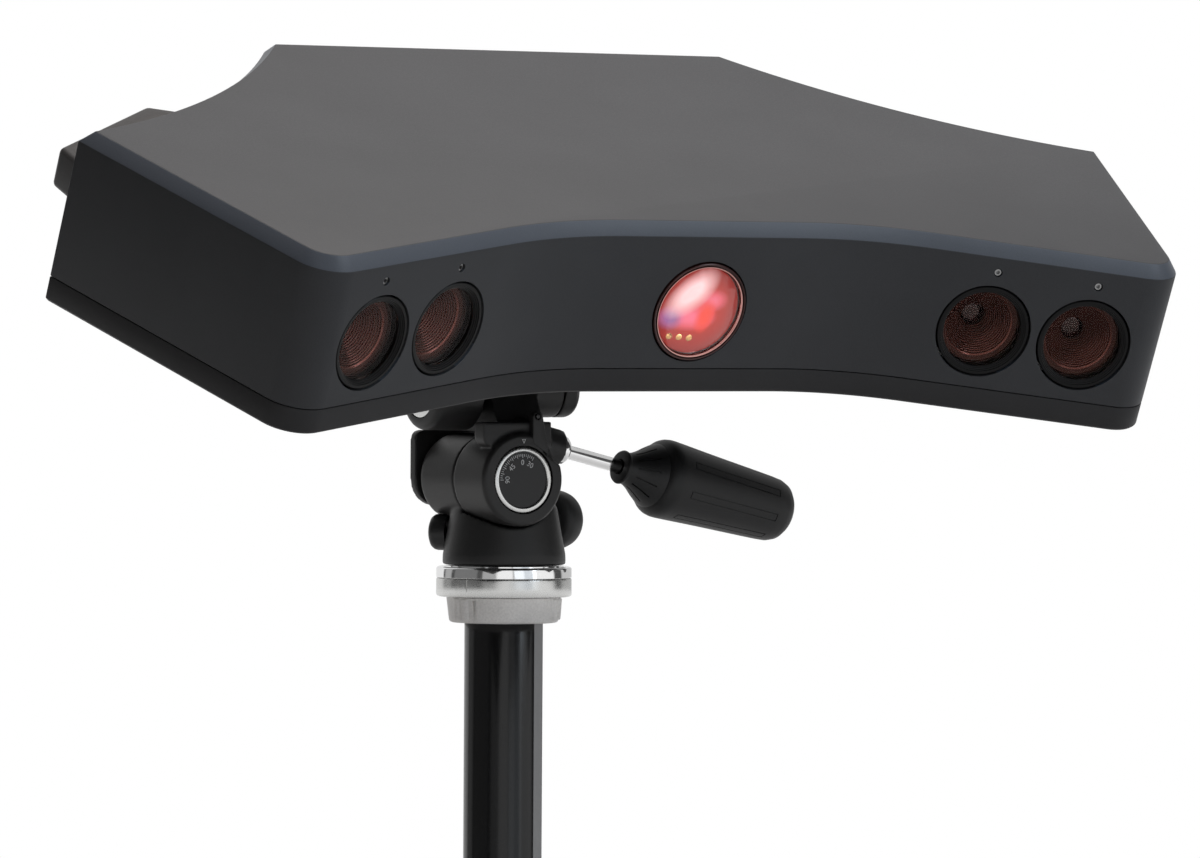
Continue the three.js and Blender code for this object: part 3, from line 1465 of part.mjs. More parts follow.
function frictionKnob() {
  const [start, end] = [frictionKnobStart, frictionKnobStart + frictionKnobLength];
  return aimed(turned([
    [0, start - frictionStudBuried], [frictionStudRadius, start - frictionStudBuried],
    [frictionStudRadius, start],
    [frictionKnobRadius, start], [frictionKnobRadius, end - frictionKnobRounding],
    [frictionKnobRadius - frictionKnobRounding / 3, end - frictionKnobRounding / 3],
    [frictionKnobRadius - frictionKnobRounding, end], [frictionDimpleRadius, end],
    [frictionDimpleRadius, end - frictionDimpleDepth], [0, end - frictionDimpleDepth],
  ], smallSteps), new THREE.Vector3(0, 0, frictionKnobHeight), knobDirection(frictionKnobAngle));
}

// Base disc, column head and column

function baseDisc() {
  const top = baseDiscBottom + baseDiscHeight;
  return turned([
    [studRadius + fit, baseDiscBottom], [topPlateRadius, baseDiscBottom],
    [topPlateRadius, top - baseDiscChamfer],
    [topPlateRadius - baseDiscChamfer, top], [panBodyRadius - baseDiscChamfer, top],
    [panBodyRadius - baseDiscChamfer, top + baseDiscGap],
    [spigotRadius, top + baseDiscGap], [spigotRadius, panBottom + spigotHeight - runningFit],
    [studRadius + fit, panBottom + spigotHeight - runningFit],
  ]);
}

const topPlate = () => turned([
  [0, topPlateBottom], [topPlateRadius - topPlateChamfer, topPlateBottom],
  [topPlateRadius, topPlateBottom + topPlateChamfer],
  [topPlateRadius, baseDiscBottom - topPlateChamfer / 2],
  [topPlateRadius - topPlateChamfer / 2, baseDiscBottom],
  [studRadius, baseDiscBottom], [studRadius, baseDiscBottom + studHeight], [0, baseDiscBottom + studHeight],
]);

function columnHead() {
  const bottom = columnLength;
  const cup = turned([
    [columnRadius + fit, bottom], [cupBottomRadius - topPlateChamfer, bottom],
    [cupBottomRadius, bottom + topPlateChamfer],
    [cupTopRadius, topPlateBottom - fit], [0, topPlateBottom - fit], [0, columnTop + fit],
    [columnRadius + fit, columnTop + fit],
  ]);
  const lugs = ringOfPlaces(cupLugs, (angle) => joined(...cupRibAngles.map((lean) => (
    disc(cupRibRadius, bottom + cupLugRise, topPlateBottom - fit, smallSteps)
      .translate(cupRibAcross, 0, 0)
      .rotateZ(angle + cupLugAngle + lean)
  ))));
  return joined(cup, ...lugs);
}

function column() {
  const tube = turned([
    [columnRadius - columnWall, footFlange + fit], [columnRadius, footFlange + fit],
    [columnRadius, columnTop], [columnRadius - columnWall, columnTop],
  ]);
  const flat = block(
    columnRadius - columnFlatDepth, columnRadius + overrun, -columnRadius, columnRadius, 0,
    columnTop + overrun,
  )
    .rotateZ(columnFlatAngle);
  return cut(tube, flat);
}

const columnFoot = () => turned([
  [0, 0], [columnRadius - topPlateChamfer / 2, 0], [columnRadius, topPlateChamfer / 2],
  [columnRadius, footFlange],
  [columnRadius - columnWall - fit, footFlange],
  [columnRadius - columnWall - fit, footFlange + footPlugLength], [0, footFlange + footPlugLength],
]);

// Assembly

const scannerOnHead = new THREE.Group();

function add(group, name, geometry, material) {
  const mesh = new THREE.Mesh(geometry, material);
  mesh.name = name;
  group.add(mesh);
}

function groupAt(parent, x, y, z) {
  const group = new THREE.Group();
  group.position.set(x, y, z);
  parent.add(group);
  return group;
}

function framedGroup(parent, matrix) {
  const group = new THREE.Group();
  group.applyMatrix4(matrix);
  parent.add(group);
  return group;
}

add(scannerOnHead, 'column_foot', columnFoot(), rubber);
add(scannerOnHead, 'column_tube', column(), columnGloss);
add(scannerOnHead, 'column_head', columnHead(), castAluminium);
add(scannerOnHead, 'top_plate', topPlate(), satinAluminium);
add(scannerOnHead, 'base_disc', baseDisc(), polishedAluminium);
add(scannerOnHead, 'pan_body', panBody(), castBlack);
add(scannerOnHead, 'pan_lock_knob', panLockKnob(), blackPlastic);
add(scannerOnHead, 'pan_friction_knob', frictionKnob(), blackPlastic);

const sideTilt = groupAt(scannerOnHead, rollAcross, 0, rollHeight);
add(sideTilt, 'side_tilt_shaft', sideTiltShaft(), steel);
add(sideTilt, 'dial_ring', dialRing(), satinAluminium);
add(sideTilt, 'dial_face', dialFace(), blackMetal);
add(sideTilt, 'side_tilt_bracket', sideTiltBracket(), castBlack);

const handleTurn = new THREE.Quaternion().setFromUnitVectors(new THREE.Vector3(0, 0, 1), handleDirection);
const lockHandle = groupAt(sideTilt, bossEnd.x, bossEnd.y, bossEnd.z);
lockHandle.quaternion.copy(handleTurn);
add(lockHandle, 'handle_rod', handleRod(), chrome);
add(lockHandle, 'handle_ferrule', handleFerrule(), blackPlastic);
add(lockHandle, 'handle_grip', handleGrip(), rubber);

const frontTilt = groupAt(sideTilt, tiltAcross, 0, tiltRise);
frontTilt.rotation.x = restTilt;
add(frontTilt, 'tilt_carrier', tiltCarrier(), castBlack);
add(frontTilt, 'tilt_axle', tiltAxle(), satinAluminium);
add(frontTilt, 'tilt_washer', tiltWasher(), blackPlastic);
add(frontTilt, 'quick_release_lever', quickReleaseLever(), blackMetal);
add(frontTilt, 'quick_release_plate', quickReleasePlate(), blackMetal);
add(frontTilt, 'mounting_block', mountingBlock(), blackMetal);
add(frontTilt, 'plate_screw', plateScrew(), steel);
add(frontTilt, 'lever_screw', leverScrew(), steel);

const scanner = groupAt(frontTilt, 0, -mountToFront, axisToHousing);
add(scanner, 'bottom_tray', bottomTray(), trayPaint);
add(scanner, 'top_cover', topCover(), housingPaint);
add(scanner, 'optical_bench', opticalBench(), satinAluminium);
add(scanner, 'main_board', mainBoard(), circuitBoard);
add(scanner, 'power_supply', powerSupply(), steel);
add(scanner, 'connector_panel', connectorPanel(), blackMetal);
add(scanner, 'power_inlet', powerInlet(), blackPlastic);
add(scanner, 'data_socket', dataSocket(), steel);
add(scanner, 'switch_frame', switchFrame(), blackPlastic);
add(scanner, 'switch_rocker', switchRocker(), blackPlastic);
add(scanner, 'carry_handle_left', carryHandle(-1), blackPlastic);
add(scanner, 'carry_handle_right', carryHandle(1), blackPlastic);

for (const { name, side, distance } of cameras) {
  const camera = framedGroup(scanner, cameraFrame(side, distance, lensHeight));
  add(camera, `${name}_filter_ring`, filterRing(), blackMetal);
  add(camera, `${name}_filter_glass`, filterGlass(), lensCoating);
  add(camera, `${name}_lens`, cameraLens(), blackMetal);
  add(camera, `${name}_body`, cameraBody(), satinAluminium);
}

const projector = framedGroup(scanner, projectorFrame);
add(projector, 'projector_ring', projectorRing(), chrome);
add(projector, 'projector_lens', projectorLens(), redGlass);
add(projector, 'projector_tube', projectorTube(), blackMetal);
add(projector, 'projector_body', projectorBody(), satinAluminium);
add(projector, 'projector_led_board', ledBoard(), brass);
add(projector, 'fan_frame', fanFrame(), blackPlastic);
add(projector, 'fan_rotor', fanRotor(), blackPlastic);

export default scannerOnHead;
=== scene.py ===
"""Looks of the structured-light three-d scanner, its tripod head and its column."""
import json
from math import acos, asin, atan2, cos, pi, radians, sin, tan

import bmesh
import bpy
from mathutils import Matrix, Vector

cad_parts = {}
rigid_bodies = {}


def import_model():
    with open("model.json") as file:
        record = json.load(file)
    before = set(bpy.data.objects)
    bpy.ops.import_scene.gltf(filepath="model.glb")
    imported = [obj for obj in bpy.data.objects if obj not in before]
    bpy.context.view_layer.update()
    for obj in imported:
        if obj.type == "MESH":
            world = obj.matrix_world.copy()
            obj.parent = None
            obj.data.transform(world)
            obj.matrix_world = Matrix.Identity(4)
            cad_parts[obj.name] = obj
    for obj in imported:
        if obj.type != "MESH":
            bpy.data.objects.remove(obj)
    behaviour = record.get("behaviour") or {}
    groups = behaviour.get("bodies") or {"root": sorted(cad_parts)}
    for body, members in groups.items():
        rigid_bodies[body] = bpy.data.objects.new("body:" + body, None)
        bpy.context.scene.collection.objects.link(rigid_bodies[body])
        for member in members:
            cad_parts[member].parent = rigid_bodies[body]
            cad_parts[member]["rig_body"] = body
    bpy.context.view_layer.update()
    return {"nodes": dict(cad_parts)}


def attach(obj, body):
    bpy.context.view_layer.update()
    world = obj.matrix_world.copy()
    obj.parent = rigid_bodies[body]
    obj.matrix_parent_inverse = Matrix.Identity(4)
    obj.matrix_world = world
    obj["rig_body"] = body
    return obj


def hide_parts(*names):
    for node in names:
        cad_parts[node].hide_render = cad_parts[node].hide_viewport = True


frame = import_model()

# Lengths are in millimetres, in the solids' frames, until place() scales them to metres
MM = 0.001
TURN = 2 * pi
TINY = 1e-6
ROUND_STEPS = 96
SMALL_STEPS = 40
FIT = 0.3
OVERRUN = 2.0
LENS_HEIGHT = 37.8
LOCK_HEIGHT = 65.2
CAMERA_RADIUS = 20.5
PROJECTOR_RADIUS = 22.4
PORT_CLEARANCE = 0.8
HOUSING_WALL = 4.0
TOE = radians(18.36)
FRONT_HALF = 214.7
PAN_BOTTOM = 251.6

# Frames of the side-tilt axis, the front-tilt axis and the middle of the housing's front edge
WORLD = Matrix.Identity(4)
ROLL = Matrix.Translation((-8, 0, 289.7))
TILT = Matrix.Translation((0, 0, 328.6)) @ Matrix.Rotation(radians(23.7), 4, "X")
SCANNER = TILT @ Matrix.Translation((0, -176.4, 58.3))


def basis(x, y, z, at=(0, 0, 0)):
    matrix = Matrix((x, y, z)).transposed().to_4x4()
    matrix.translation = at
    return matrix


def linked(name, data):
    obj = bpy.data.objects.new(name, data)
    bpy.context.scene.collection.objects.link(obj)
    return obj


ALONG_X = basis((0, 0, -1), (0, 1, 0), (1, 0, 0))
ALONG_Y = basis((1, 0, 0), (0, 0, -1), (0, 1, 0))
SIDEWAYS = basis((0, 1, 0), (0, 0, 1), (1, 0, 0))
UPRIGHT = basis((1, 0, 0), (0, 0, 1), (0, -1, 0))


# View at the photograph's angle, in metres

VIEW_AZIMUTH = radians(-32.073)
VIEW_ELEVATION = radians(0.945)
VIEW_ROLL = radians(0.35)
VIEW_FROM = Vector((-1.68018, -2.76065, 0.3651))
VIEW_LENS = 218.87
VIEW_SENSOR = 36
VIEW_REACH = 50


def make_camera():
    back = Vector((
        sin(VIEW_AZIMUTH) * cos(VIEW_ELEVATION),
        -cos(VIEW_AZIMUTH) * cos(VIEW_ELEVATION),
        sin(VIEW_ELEVATION),
    ))
    right = (-back).cross(Vector((0, 0, 1))).normalized()
    down = (-back).cross(right)
    across = cos(VIEW_ROLL) * right - sin(VIEW_ROLL) * down
    below = sin(VIEW_ROLL) * right + cos(VIEW_ROLL) * down
    data = bpy.data.cameras.new("camera")
    data.sensor_width = VIEW_SENSOR
    data.lens = VIEW_LENS
    data.clip_end = VIEW_REACH
    camera = linked("camera", data)
    camera.matrix_world = basis(across, -below, back, VIEW_FROM)
    bpy.context.scene.camera = camera


make_camera()


# Materials

NOISE_DETAIL = 3
BUMP_DEPTH = 0.0002
ROUGH_SPREAD = 0.05
COAT_ROUGH = 0.08
GLASS_SHADE = 0.97
GLASS_ROUGH = 0.01
DARK_AT, LIGHT_AT = 0.35, 0.65
FAR = 1000
MIX_FIRST, MIX_SECOND, MIX_RESULT = 6, 7, 2


def shader(name):
    material = bpy.data.materials.new(name)
    material.use_nodes = True
    tree = material.node_tree
    return material, tree, tree.nodes["Principled BSDF"]


def node_in(tree, kind):
    return tree.nodes.new("ShaderNode" + kind)


def feed(tree, value, node, name):
    tree.links.new(value, node.inputs[name])


def fixed(node, values):
    for name, value in values.items():
        node.inputs[name].default_value = value


def noise_of(tree, scale):
    coordinates = node_in(tree, "TexCoord")
    noise = node_in(tree, "TexNoise")
    fixed(noise, {"Scale": scale, "Detail": NOISE_DETAIL})
    feed(tree, coordinates.outputs["Object"], noise, "Vector")
    return noise.outputs["Fac"]


def worked(tree, operation, first, second):
    node = node_in(tree, "Math")
    node.operation = operation
    for socket, value in zip(node.inputs, (first, second)):
        if isinstance(value, (int, float)):
            socket.default_value = value
        else:
            tree.links.new(value, socket)
    return node.outputs[0]


def ranged(tree, value, low, high, start=0.3, end=0.7):
    node = node_in(tree, "MapRange")
    fixed(node, {"From Min": start, "From Max": end, "To Min": low, "To Max": high})
    feed(tree, value, node, "Value")
    return node.outputs["Result"]


def ramp(tree, value, stops):
    node = node_in(tree, "ValToRGB")
    elements = node.color_ramp.elements
    while len(elements) < len(stops):
        elements.new(0.5)
    for element, (position, color) in zip(elements, stops):
        element.position = position
        element.color = (*color, 1)
    feed(tree, value, node, "Fac")
    return node.outputs["Color"]


def shaded(tree, value, dark, light):
    return ramp(tree, value, [(DARK_AT, dark), (LIGHT_AT, light)])


def length_of(tree, vector):
    node = node_in(tree, "VectorMath")
    node.operation = "LENGTH"
    feed(tree, vector, node, 0)
    return node.outputs["Value"]


def mixed(tree, factor, first, second):
    node = node_in(tree, "Mix")
    node.data_type = "RGBA"
    feed(tree, factor, node, "Factor")
    for socket, value in ((node.inputs[MIX_FIRST], first), (node.inputs[MIX_SECOND], second)):
        if isinstance(value, tuple):
            socket.default_value = (*value, 1)
        else:
            tree.links.new(value, socket)
    return node.outputs[MIX_RESULT]


def bumped(tree, bsdf, value, strength):
    bump = node_in(tree, "Bump")
    fixed(bump, {"Strength": strength, "Distance": BUMP_DEPTH})
    feed(tree, value, bump, "Height")
    feed(tree, bump.outputs["Normal"], bsdf, "Normal")


def surface(name, color, rough, metal=0.0, spread=0.15, patch=60, grain=1500, bump=0.1, coat=0.0,
            specular=0.5):
    material, tree, bsdf = shader(name)
    broad = noise_of(tree, patch)
    fine = noise_of(tree, grain)
    both = worked(tree, "MULTIPLY", worked(tree, "ADD", broad, fine), 0.5)
    dark = [c * (1 - spread) for c in color]
    light = [min(1, c * (1 + spread)) for c in color]
    feed(tree, shaded(tree, both, dark, light), bsdf, "Base Color")
    roughness = ranged(tree, fine, rough - ROUGH_SPREAD, rough + ROUGH_SPREAD)
    feed(tree, roughness, bsdf, "Roughness")
    fixed(bsdf, {
        "Metallic": metal, "Specular IOR Level": specular,
        "Coat Weight": coat, "Coat Roughness": COAT_ROUGH,
    })
    if bump:
        bumped(tree, bsdf, fine, bump)
    return material


def clear(name, color, ior):
    material, tree, bsdf = shader(name)
    smear = noise_of(tree, 90)
    dark = [c * GLASS_SHADE for c in color]
    feed(tree, shaded(tree, smear, dark, color), bsdf, "Base Color")
    feed(tree, ranged(tree, smear, GLASS_ROUGH, GLASS_ROUGH * 2), bsdf, "Roughness")
    fixed(bsdf, {"Transmission Weight": 1, "IOR": ior})
    return material


def blob(tree, x, y, length, width, turn=0, strength=1):
    """A soft oval of painted light, its place and half sizes given as shares of the painted light's width.
    """
    coordinates = node_in(tree, "TexCoord")
    oval = node_in(tree, "Mapping")
    oval.vector_type = "TEXTURE"
    fixed(oval, {
        "Location": (0.5 + x, 0.5, 0.5 + y), "Rotation": (0, -radians(turn), 0),
        "Scale": (length, FAR, width),
    })
    feed(tree, coordinates.outputs["Generated"], oval, "Vector")
    return ranged(tree, length_of(tree, oval.outputs["Vector"]), strength, 0, 0, 1)


# Painted light of the projector: an emissive glow from edge to middle, then patches that are painted
# reflections (pink, violet and red) and a painted highlight (the pale one); the place, half sizes, turn
# and strength of each patch, and its colour
LIGHT_EDGE = (0.2, 0.008, 0.004)
LIGHT_MIDDLE = (0.5, 0.03, 0.015)
PAINTED_REFLECTION_PATCHES = [
    ((-0.1, -0.08, 0.36, 0.16, 0, 1.3), (0.7, 0.14, 0.21)),
    ((0.16, 0.1, 0.2, 0.13, 0, 1.2), (0.62, 0.12, 0.17)),
    ((-0.3, -0.1, 0.18, 0.15, 0, 1.5), (0.25, 0.1, 0.26)),
    ((0.1, -0.07, 0.12, 0.2, -12, 1.6), (0.68, 0.055, 0.035)),
    ((-0.1, 0.18, 0.4, 0.2, 42, 1.5), (0.84, 0.56, 0.57)),
]


def glow_material():
    material, tree, bsdf = shader("projector_painted_glow")
    light = mixed(tree, blob(tree, 0, 0, 0.5, 0.5), LIGHT_EDGE, LIGHT_MIDDLE)
    for (x, y, length, width, turn, strength), color in PAINTED_REFLECTION_PATCHES:
        amount = worked(tree, "MINIMUM", blob(tree, x, y, length, width, turn, strength), 1)
        light = mixed(tree, amount, light, color)
    feed(tree, light, bsdf, "Base Color")
    feed(tree, light, bsdf, "Emission Color")
    feed(tree, ranged(tree, noise_of(tree, 120), 0.8, 1.0), bsdf, "Emission Strength")
    bsdf.inputs["Roughness"].default_value = 0.4
    return material


def paint(name, color, rough, specular):
    return surface(name, color, rough, spread=0.07, patch=25, bump=0.18, specular=specular)


PAINT = paint("housing_paint", (0.059, 0.0598, 0.0635), 0.5, 0.16)
# Painted highlight: a lighter, bluer copy of the housing paint for the top bevel, where it faces the lamps
BEVEL_PAINTED_HIGHLIGHT = paint("bevel_painted_highlight", (0.088, 0.099, 0.12), 0.42, 0.3)
TRAY_PAINT = paint("tray_paint", (0.038, 0.037, 0.038), 0.5, 0.16)
CAST_BLACK = surface("head_casting", (0.021, 0.0205, 0.0205), 0.44, spread=0.16, bump=0.2, specular=0.35)
BLACK_PLASTIC = surface("black_plastic", (0.017, 0.017, 0.0175), 0.4, bump=0.08,
                        specular=0.35)
HANDLE_PLASTIC = surface("handle_plastic", (0.022, 0.019, 0.018), 0.45, specular=0.25)
GRIP_RUBBER = surface("grip_rubber", (0.013, 0.013, 0.0135), 0.48, bump=0.12, specular=0.35)
BLACK_METAL = surface("black_anodised", (0.016, 0.016, 0.017), 0.26, 0.3, 0.15, grain=2600, bump=0.04)
SATIN = surface("satin_aluminium", (0.6, 0.6, 0.59), 0.26, 1.0, 0.06, grain=1600, bump=0)
CAST_METAL = surface("cast_aluminium", (0.8, 0.78, 0.76), 0.5, 0.3, 0.12, grain=1100, bump=0.5)
POLISHED = surface("polished_metal", (0.84, 0.84, 0.84), 0.09, 1.0, 0.03, grain=900, bump=0)
KNOB_GREY = surface("knob_grey", (0.036, 0.036, 0.036), 0.5, bump=0.15, specular=0.3)
STEEL = surface("screw_steel", (0.5, 0.5, 0.5), 0.28, 1.0, 0.1, grain=1800, bump=0.05)
GLOSS_BLACK = surface("column_gloss", (0.009, 0.009, 0.0095), 0.2, spread=0.1, grain=700, bump=0.02,
                      coat=0.08, specular=0.32)
STRIP_GREY = surface("column_strip", (0.17, 0.17, 0.175), 0.4, 0.3, 0.08, grain=900, bump=0.05)
BARREL_BLACK = surface("barrel_brown", (0.026, 0.0135, 0.011), 0.5, grain=2600, bump=0,
                       specular=0)
RING_BLACK = surface("ring_black", (0.006, 0.006, 0.0063), 0.36, grain=2600, bump=0.03,
                     specular=0.14)
# Painted highlight: a lighter brown for the barrel's rib edges and retainer chamfer, on top of the real
# gloss of their metal
BARREL_EDGE_PAINTED_HIGHLIGHT = surface("barrel_edge_painted_highlight", (0.14, 0.06, 0.048), 0.22, 0.5, 0.1, grain=2600, bump=0,
                      specular=0.2)
# Painted light: a lighter copy of the barrel brown for the retainer's face, which faces the light at the
# front of the barrel
BARREL_FACE_PAINTED_LIGHT = surface("barrel_face_painted_light", (0.06, 0.034, 0.029), 0.5, spread=0.1, bump=0, specular=0)
# Painted light: the black projector ring tinted red where the projector's red light falls on it
RING_PAINTED_RED_LIGHT = surface("projector_ring_painted_red_light", (0.05, 0.011, 0.009), 0.3, 0.2, 0.12, grain=2600, bump=0.03)
# Painted reflection: a pink tint on the polished bezel, standing in for the projector's red light mirrored
# in it
BEZEL_PAINTED_RED_REFLECTION = surface("projector_bezel_painted_red_reflection", (0.62, 0.33, 0.3), 0.14, 1.0, 0.05, grain=2600, bump=0)
# Painted shade: a darker copy of the screw steel for the lock screws, standing in for the shade of their
# holes
LOCK_STEEL_PAINTED_SHADE = surface("lock_screw_steel_painted_shade", (0.3, 0.3, 0.3), 0.3, 1.0, 0.1, grain=1800, bump=0.05)
BOARD_GREEN = surface("circuit_green", (0.02, 0.12, 0.05), 0.4, spread=0.25, grain=600)
GOLD = surface("gold_contact", (0.8, 0.5, 0.2), 0.25, 1.0, 0.08, bump=0.05)
DIAL_BLACK = surface("dial_black", (0.016, 0.016, 0.017), 0.36, spread=0.1, grain=2200, bump=0.04,
                     specular=0.35)
DIAL_WHITE = surface("dial_white", (0.8, 0.8, 0.8), 0.5, spread=0.05, grain=2200, bump=0.02)
FILTER_GLASS = clear("filter_glass", (0.95, 0.82, 0.79), 1.12)
FRONT_GLASS = surface("front_element", (0.014, 0.0055, 0.005), 0.1, spread=0.1, bump=0, specular=0.4)
PROJECTOR_GLASS = clear("projector_glass", (1.0, 0.95, 0.94), 1.42)
PAINTED_GLOW = glow_material()


# Shapes in millimetres

CAST_VOXEL = 0.7
CAST_ROUNDS = 4


def object_of(bm):
    bmesh.ops.recalc_face_normals(bm, faces=bm.faces)
    mesh = bpy.data.meshes.new("shape")
    bm.to_mesh(mesh)
    bm.free()
    return linked("shape", mesh)


def turned(profile, steps=ROUND_STEPS):
    bm = bmesh.new()
    rings = []
    for radius, height in profile:
        turns = [TURN * i / steps for i in range(steps)] if radius > TINY else [0]
        rings.append([bm.verts.new((radius * cos(a), radius * sin(a), height)) for a in turns])
    pairs = list(zip(rings, rings[1:]))
    if profile[0][0] > TINY or profile[-1][0] > TINY:
        pairs.append((rings[-1], rings[0]))
    for low, high in pairs:
        for i in range(steps):
            j = (i + 1) % steps
            corners = [low[i % len(low)], low[j % len(low)], high[j % len(high)], high[i % len(high)]]
            distinct = list(dict.fromkeys(corners))
            if len(distinct) > 2:
                bm.faces.new(distinct)
    return object_of(bm)


def disc(radius, low, high, steps=SMALL_STEPS):
    return turned([(0, low), (radius, low), (radius, high), (0, high)], steps)


def loft(levels):
    bm = bmesh.new()
    rings = [[bm.verts.new((x, y, z)) for x, y in outline] for outline, z in levels]
    count = len(rings[0])
    for low, high in zip(rings, rings[1:]):
        for i in range(count):
            j = (i + 1) % count
            bm.faces.new((low[i], low[j], high[j], high[i]))
    bm.faces.new(list(reversed(rings[0])))
    bm.faces.new(rings[-1])
    return object_of(bm)


def prism(outline, low, high):
    return loft([(outline, low), (outline, high)])


def block(left, right, front, back, bottom, top):
    return prism([(left, front), (right, front), (right, back), (left, back)], bottom, top)


def arc(x, y, radius, start, end, steps=12):
    turns = [radians(start + (end - start) * i / steps) for i in range(steps + 1)]
    return [(x + radius * cos(a), y + radius * sin(a)) for a in turns]


def rounded_rectangle(half_width, half_depth, radius):
    width, depth = half_width - radius, half_depth - radius
    corners = ((width, depth, 0), (-width, depth, 90), (-width, -depth, 180), (width, -depth, 270))
    outline = []
    for x, y, start in corners:
        outline += arc(x, y, radius, start, start + 90)
    return outline


def moved(obj, matrix):
    obj.data.transform(matrix)
    return obj


def shifted(obj, x=0.0, y=0.0, z=0.0):
    return moved(obj, Matrix.Translation((x, y, z)))


def swung(obj, turn, axis="Z"):
    return moved(obj, Matrix.Rotation(turn, 4, axis))


def aimed(obj, at, direction):
    turn = Vector((0, 0, 1)).rotation_difference(Vector(direction)).to_matrix().to_4x4()
    return moved(obj, Matrix.Translation(at) @ turn)


def evaluated(obj):
    graph = bpy.context.evaluated_depsgraph_get()
    return bpy.data.meshes.new_from_object(obj.evaluated_get(graph), depsgraph=graph)


def settled(obj):
    mesh = evaluated(obj)
    old = obj.data
    obj.modifiers.clear()
    obj.data = mesh
    bpy.data.meshes.remove(old)
    return obj


def combined(obj, tools, operation):
    for tool in tools:
        modifier = obj.modifiers.new("combine", "BOOLEAN")
        modifier.operation = operation
        modifier.solver = "EXACT"
        modifier.object = tool
    settled(obj)
    for tool in tools:
        mesh = tool.data
        bpy.data.objects.remove(tool)
        bpy.data.meshes.remove(mesh)
    return obj


def carved(obj, *tools):
    return combined(obj, tools, "DIFFERENCE")


def joined(obj, *parts):
    return combined(obj, parts, "UNION")


def eased(obj, width, angle=35, segments=3):
    modifier = obj.modifiers.new("ease", "BEVEL")
    modifier.width = width
    modifier.segments = segments
    modifier.limit_method = "ANGLE"
    modifier.angle_limit = radians(angle)
    return settled(obj)


def cast(obj):
    remesh = obj.modifiers.new("cast", "REMESH")
    remesh.mode = "VOXEL"
    remesh.voxel_size = CAST_VOXEL
    smooth = obj.modifiers.new("smooth", "SMOOTH")
    smooth.factor = 0.5
    smooth.iterations = CAST_ROUNDS
    return settled(obj)


def place(obj, name, body, material, nodes=(), matrix=WORLD, sharp=38):
    moved(obj, Matrix.Scale(MM, 4) @ matrix)
    obj.name = name
    obj.data.name = name
    obj.data.materials.clear()
    obj.data.materials.append(material)
    obj.data.polygons.foreach_set("use_smooth", [True] * len(obj.data.polygons))
    obj.data.set_sharp_from_angle(angle=radians(sharp))
    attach(obj, body)
    if nodes:
        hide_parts(*nodes)
    return obj


def mount(obj, name, material, nodes=(), matrix=SCANNER, sharp=38):
    """Places a piece that moves with the scanner."""
    return place(obj, name, "front_tilt", material, nodes, matrix, sharp)


# Housing outline

FRONT_FLAT = 44.6
FRONT_ARC = 201.0
WING = (260.0, 139.5)
BACK = (117.1, 245.8)
REAR_SAGITTA = 13.2
FRONT_CORNER = 17.0
ARC_STEPS, CORNER_STEPS, REAR_STEPS = 20, 12, 24
CORNER_POINT = ARC_STEPS + 1 + CORNER_STEPS // 2
WING_POINT = ARC_STEPS + CORNER_STEPS + 2
TRAY_SCREW_INSET = 10.5
FACET_END = FRONT_FLAT + FRONT_ARC * sin(TOE)
SETBACK = (FRONT_HALF - FACET_END) * tan(TOE) + FRONT_ARC * (1 - cos(TOE))


def swept(centre, start, sweep, steps):
    turns = [Matrix.Rotation(sweep * i / steps, 2) for i in range(steps + 1)]
    return [tuple(centre + turn @ start) for turn in turns]


def fillet(before, corner, after, radius, steps):
    before, corner, after = Vector(before), Vector(corner), Vector(after)
    to_before, to_after = (before - corner).normalized(), (after - corner).normalized()
    half = acos(to_before.dot(to_after)) / 2
    centre = corner + (to_before + to_after).normalized() * radius / sin(half)
    start = corner + to_before * radius / tan(half) - centre
    end = corner + to_after * radius / tan(half) - centre
    sweep = atan2(start.x * end.y - start.y * end.x, start.dot(end))
    return swept(centre, start, sweep, steps)


def bowed(a, b, sagitta, steps):
    a, b = Vector(a), Vector(b)
    chord = b - a
    half = chord.length / 2
    radius = (half ** 2 + sagitta ** 2) / (2 * sagitta)
    left = Vector((-chord.y, chord.x)).normalized()
    centre = (a + b) / 2 + left * (sagitta - radius)
    return swept(centre, a - centre, -2 * asin(half / radius), steps)


def housing_points():
    turns = [TOE * i / ARC_STEPS for i in range(ARC_STEPS + 1)]
    points = [
        (FRONT_FLAT + FRONT_ARC * sin(a), SETBACK - FRONT_ARC * (1 - cos(a)))
        for a in turns
    ]
    points += fillet(points[-1], (FRONT_HALF, 0), WING, FRONT_CORNER, CORNER_STEPS)
    points += bowed(WING, BACK, REAR_SAGITTA, REAR_STEPS)
    return points + [(-x, y) for x, y in reversed(points)]


def housing_outline(inset):
    points = [Vector(p) for p in housing_points()]
    outline = []
    for i, point in enumerate(points):
        before, after = points[i - 1], points[(i + 1) % len(points)]
        mitre = Vector((0, 0))
        for a, b in ((before, point), (point, after)):
            mitre += Vector((a.y - b.y, b.x - a.x)).normalized()
        outline.append(tuple(point + mitre * (2 * inset / mitre.length_squared)))
    return outline


def camera_frame(side, distance, height=LENS_HEIGHT):
    inward = Vector((side * sin(TOE), cos(TOE), 0))
    up = Vector((0, 0, 1))
    at = (side * (FRONT_HALF - distance * cos(TOE)), distance * sin(TOE), height)
    return basis(up.cross(inward), up, inward, at)


PROJECTOR = basis((-1, 0, 0), (0, 0, 1), (0, 1, 0), (0, SETBACK, LENS_HEIGHT))
CAMERAS = {
    "camera_left_outer": (-1, 38.2), "camera_left_inner": (-1, 84.2),
    "camera_right_inner": (1, 84.2), "camera_right_outer": (1, 38.2),
}


def tray_screw_places():
    outline = housing_outline(TRAY_SCREW_INSET)
    right = [outline[0], outline[CORNER_POINT], outline[WING_POINT], outline[len(outline) // 2 - 1]]
    return right + [(-x, y) for x, y in right]


# Housing

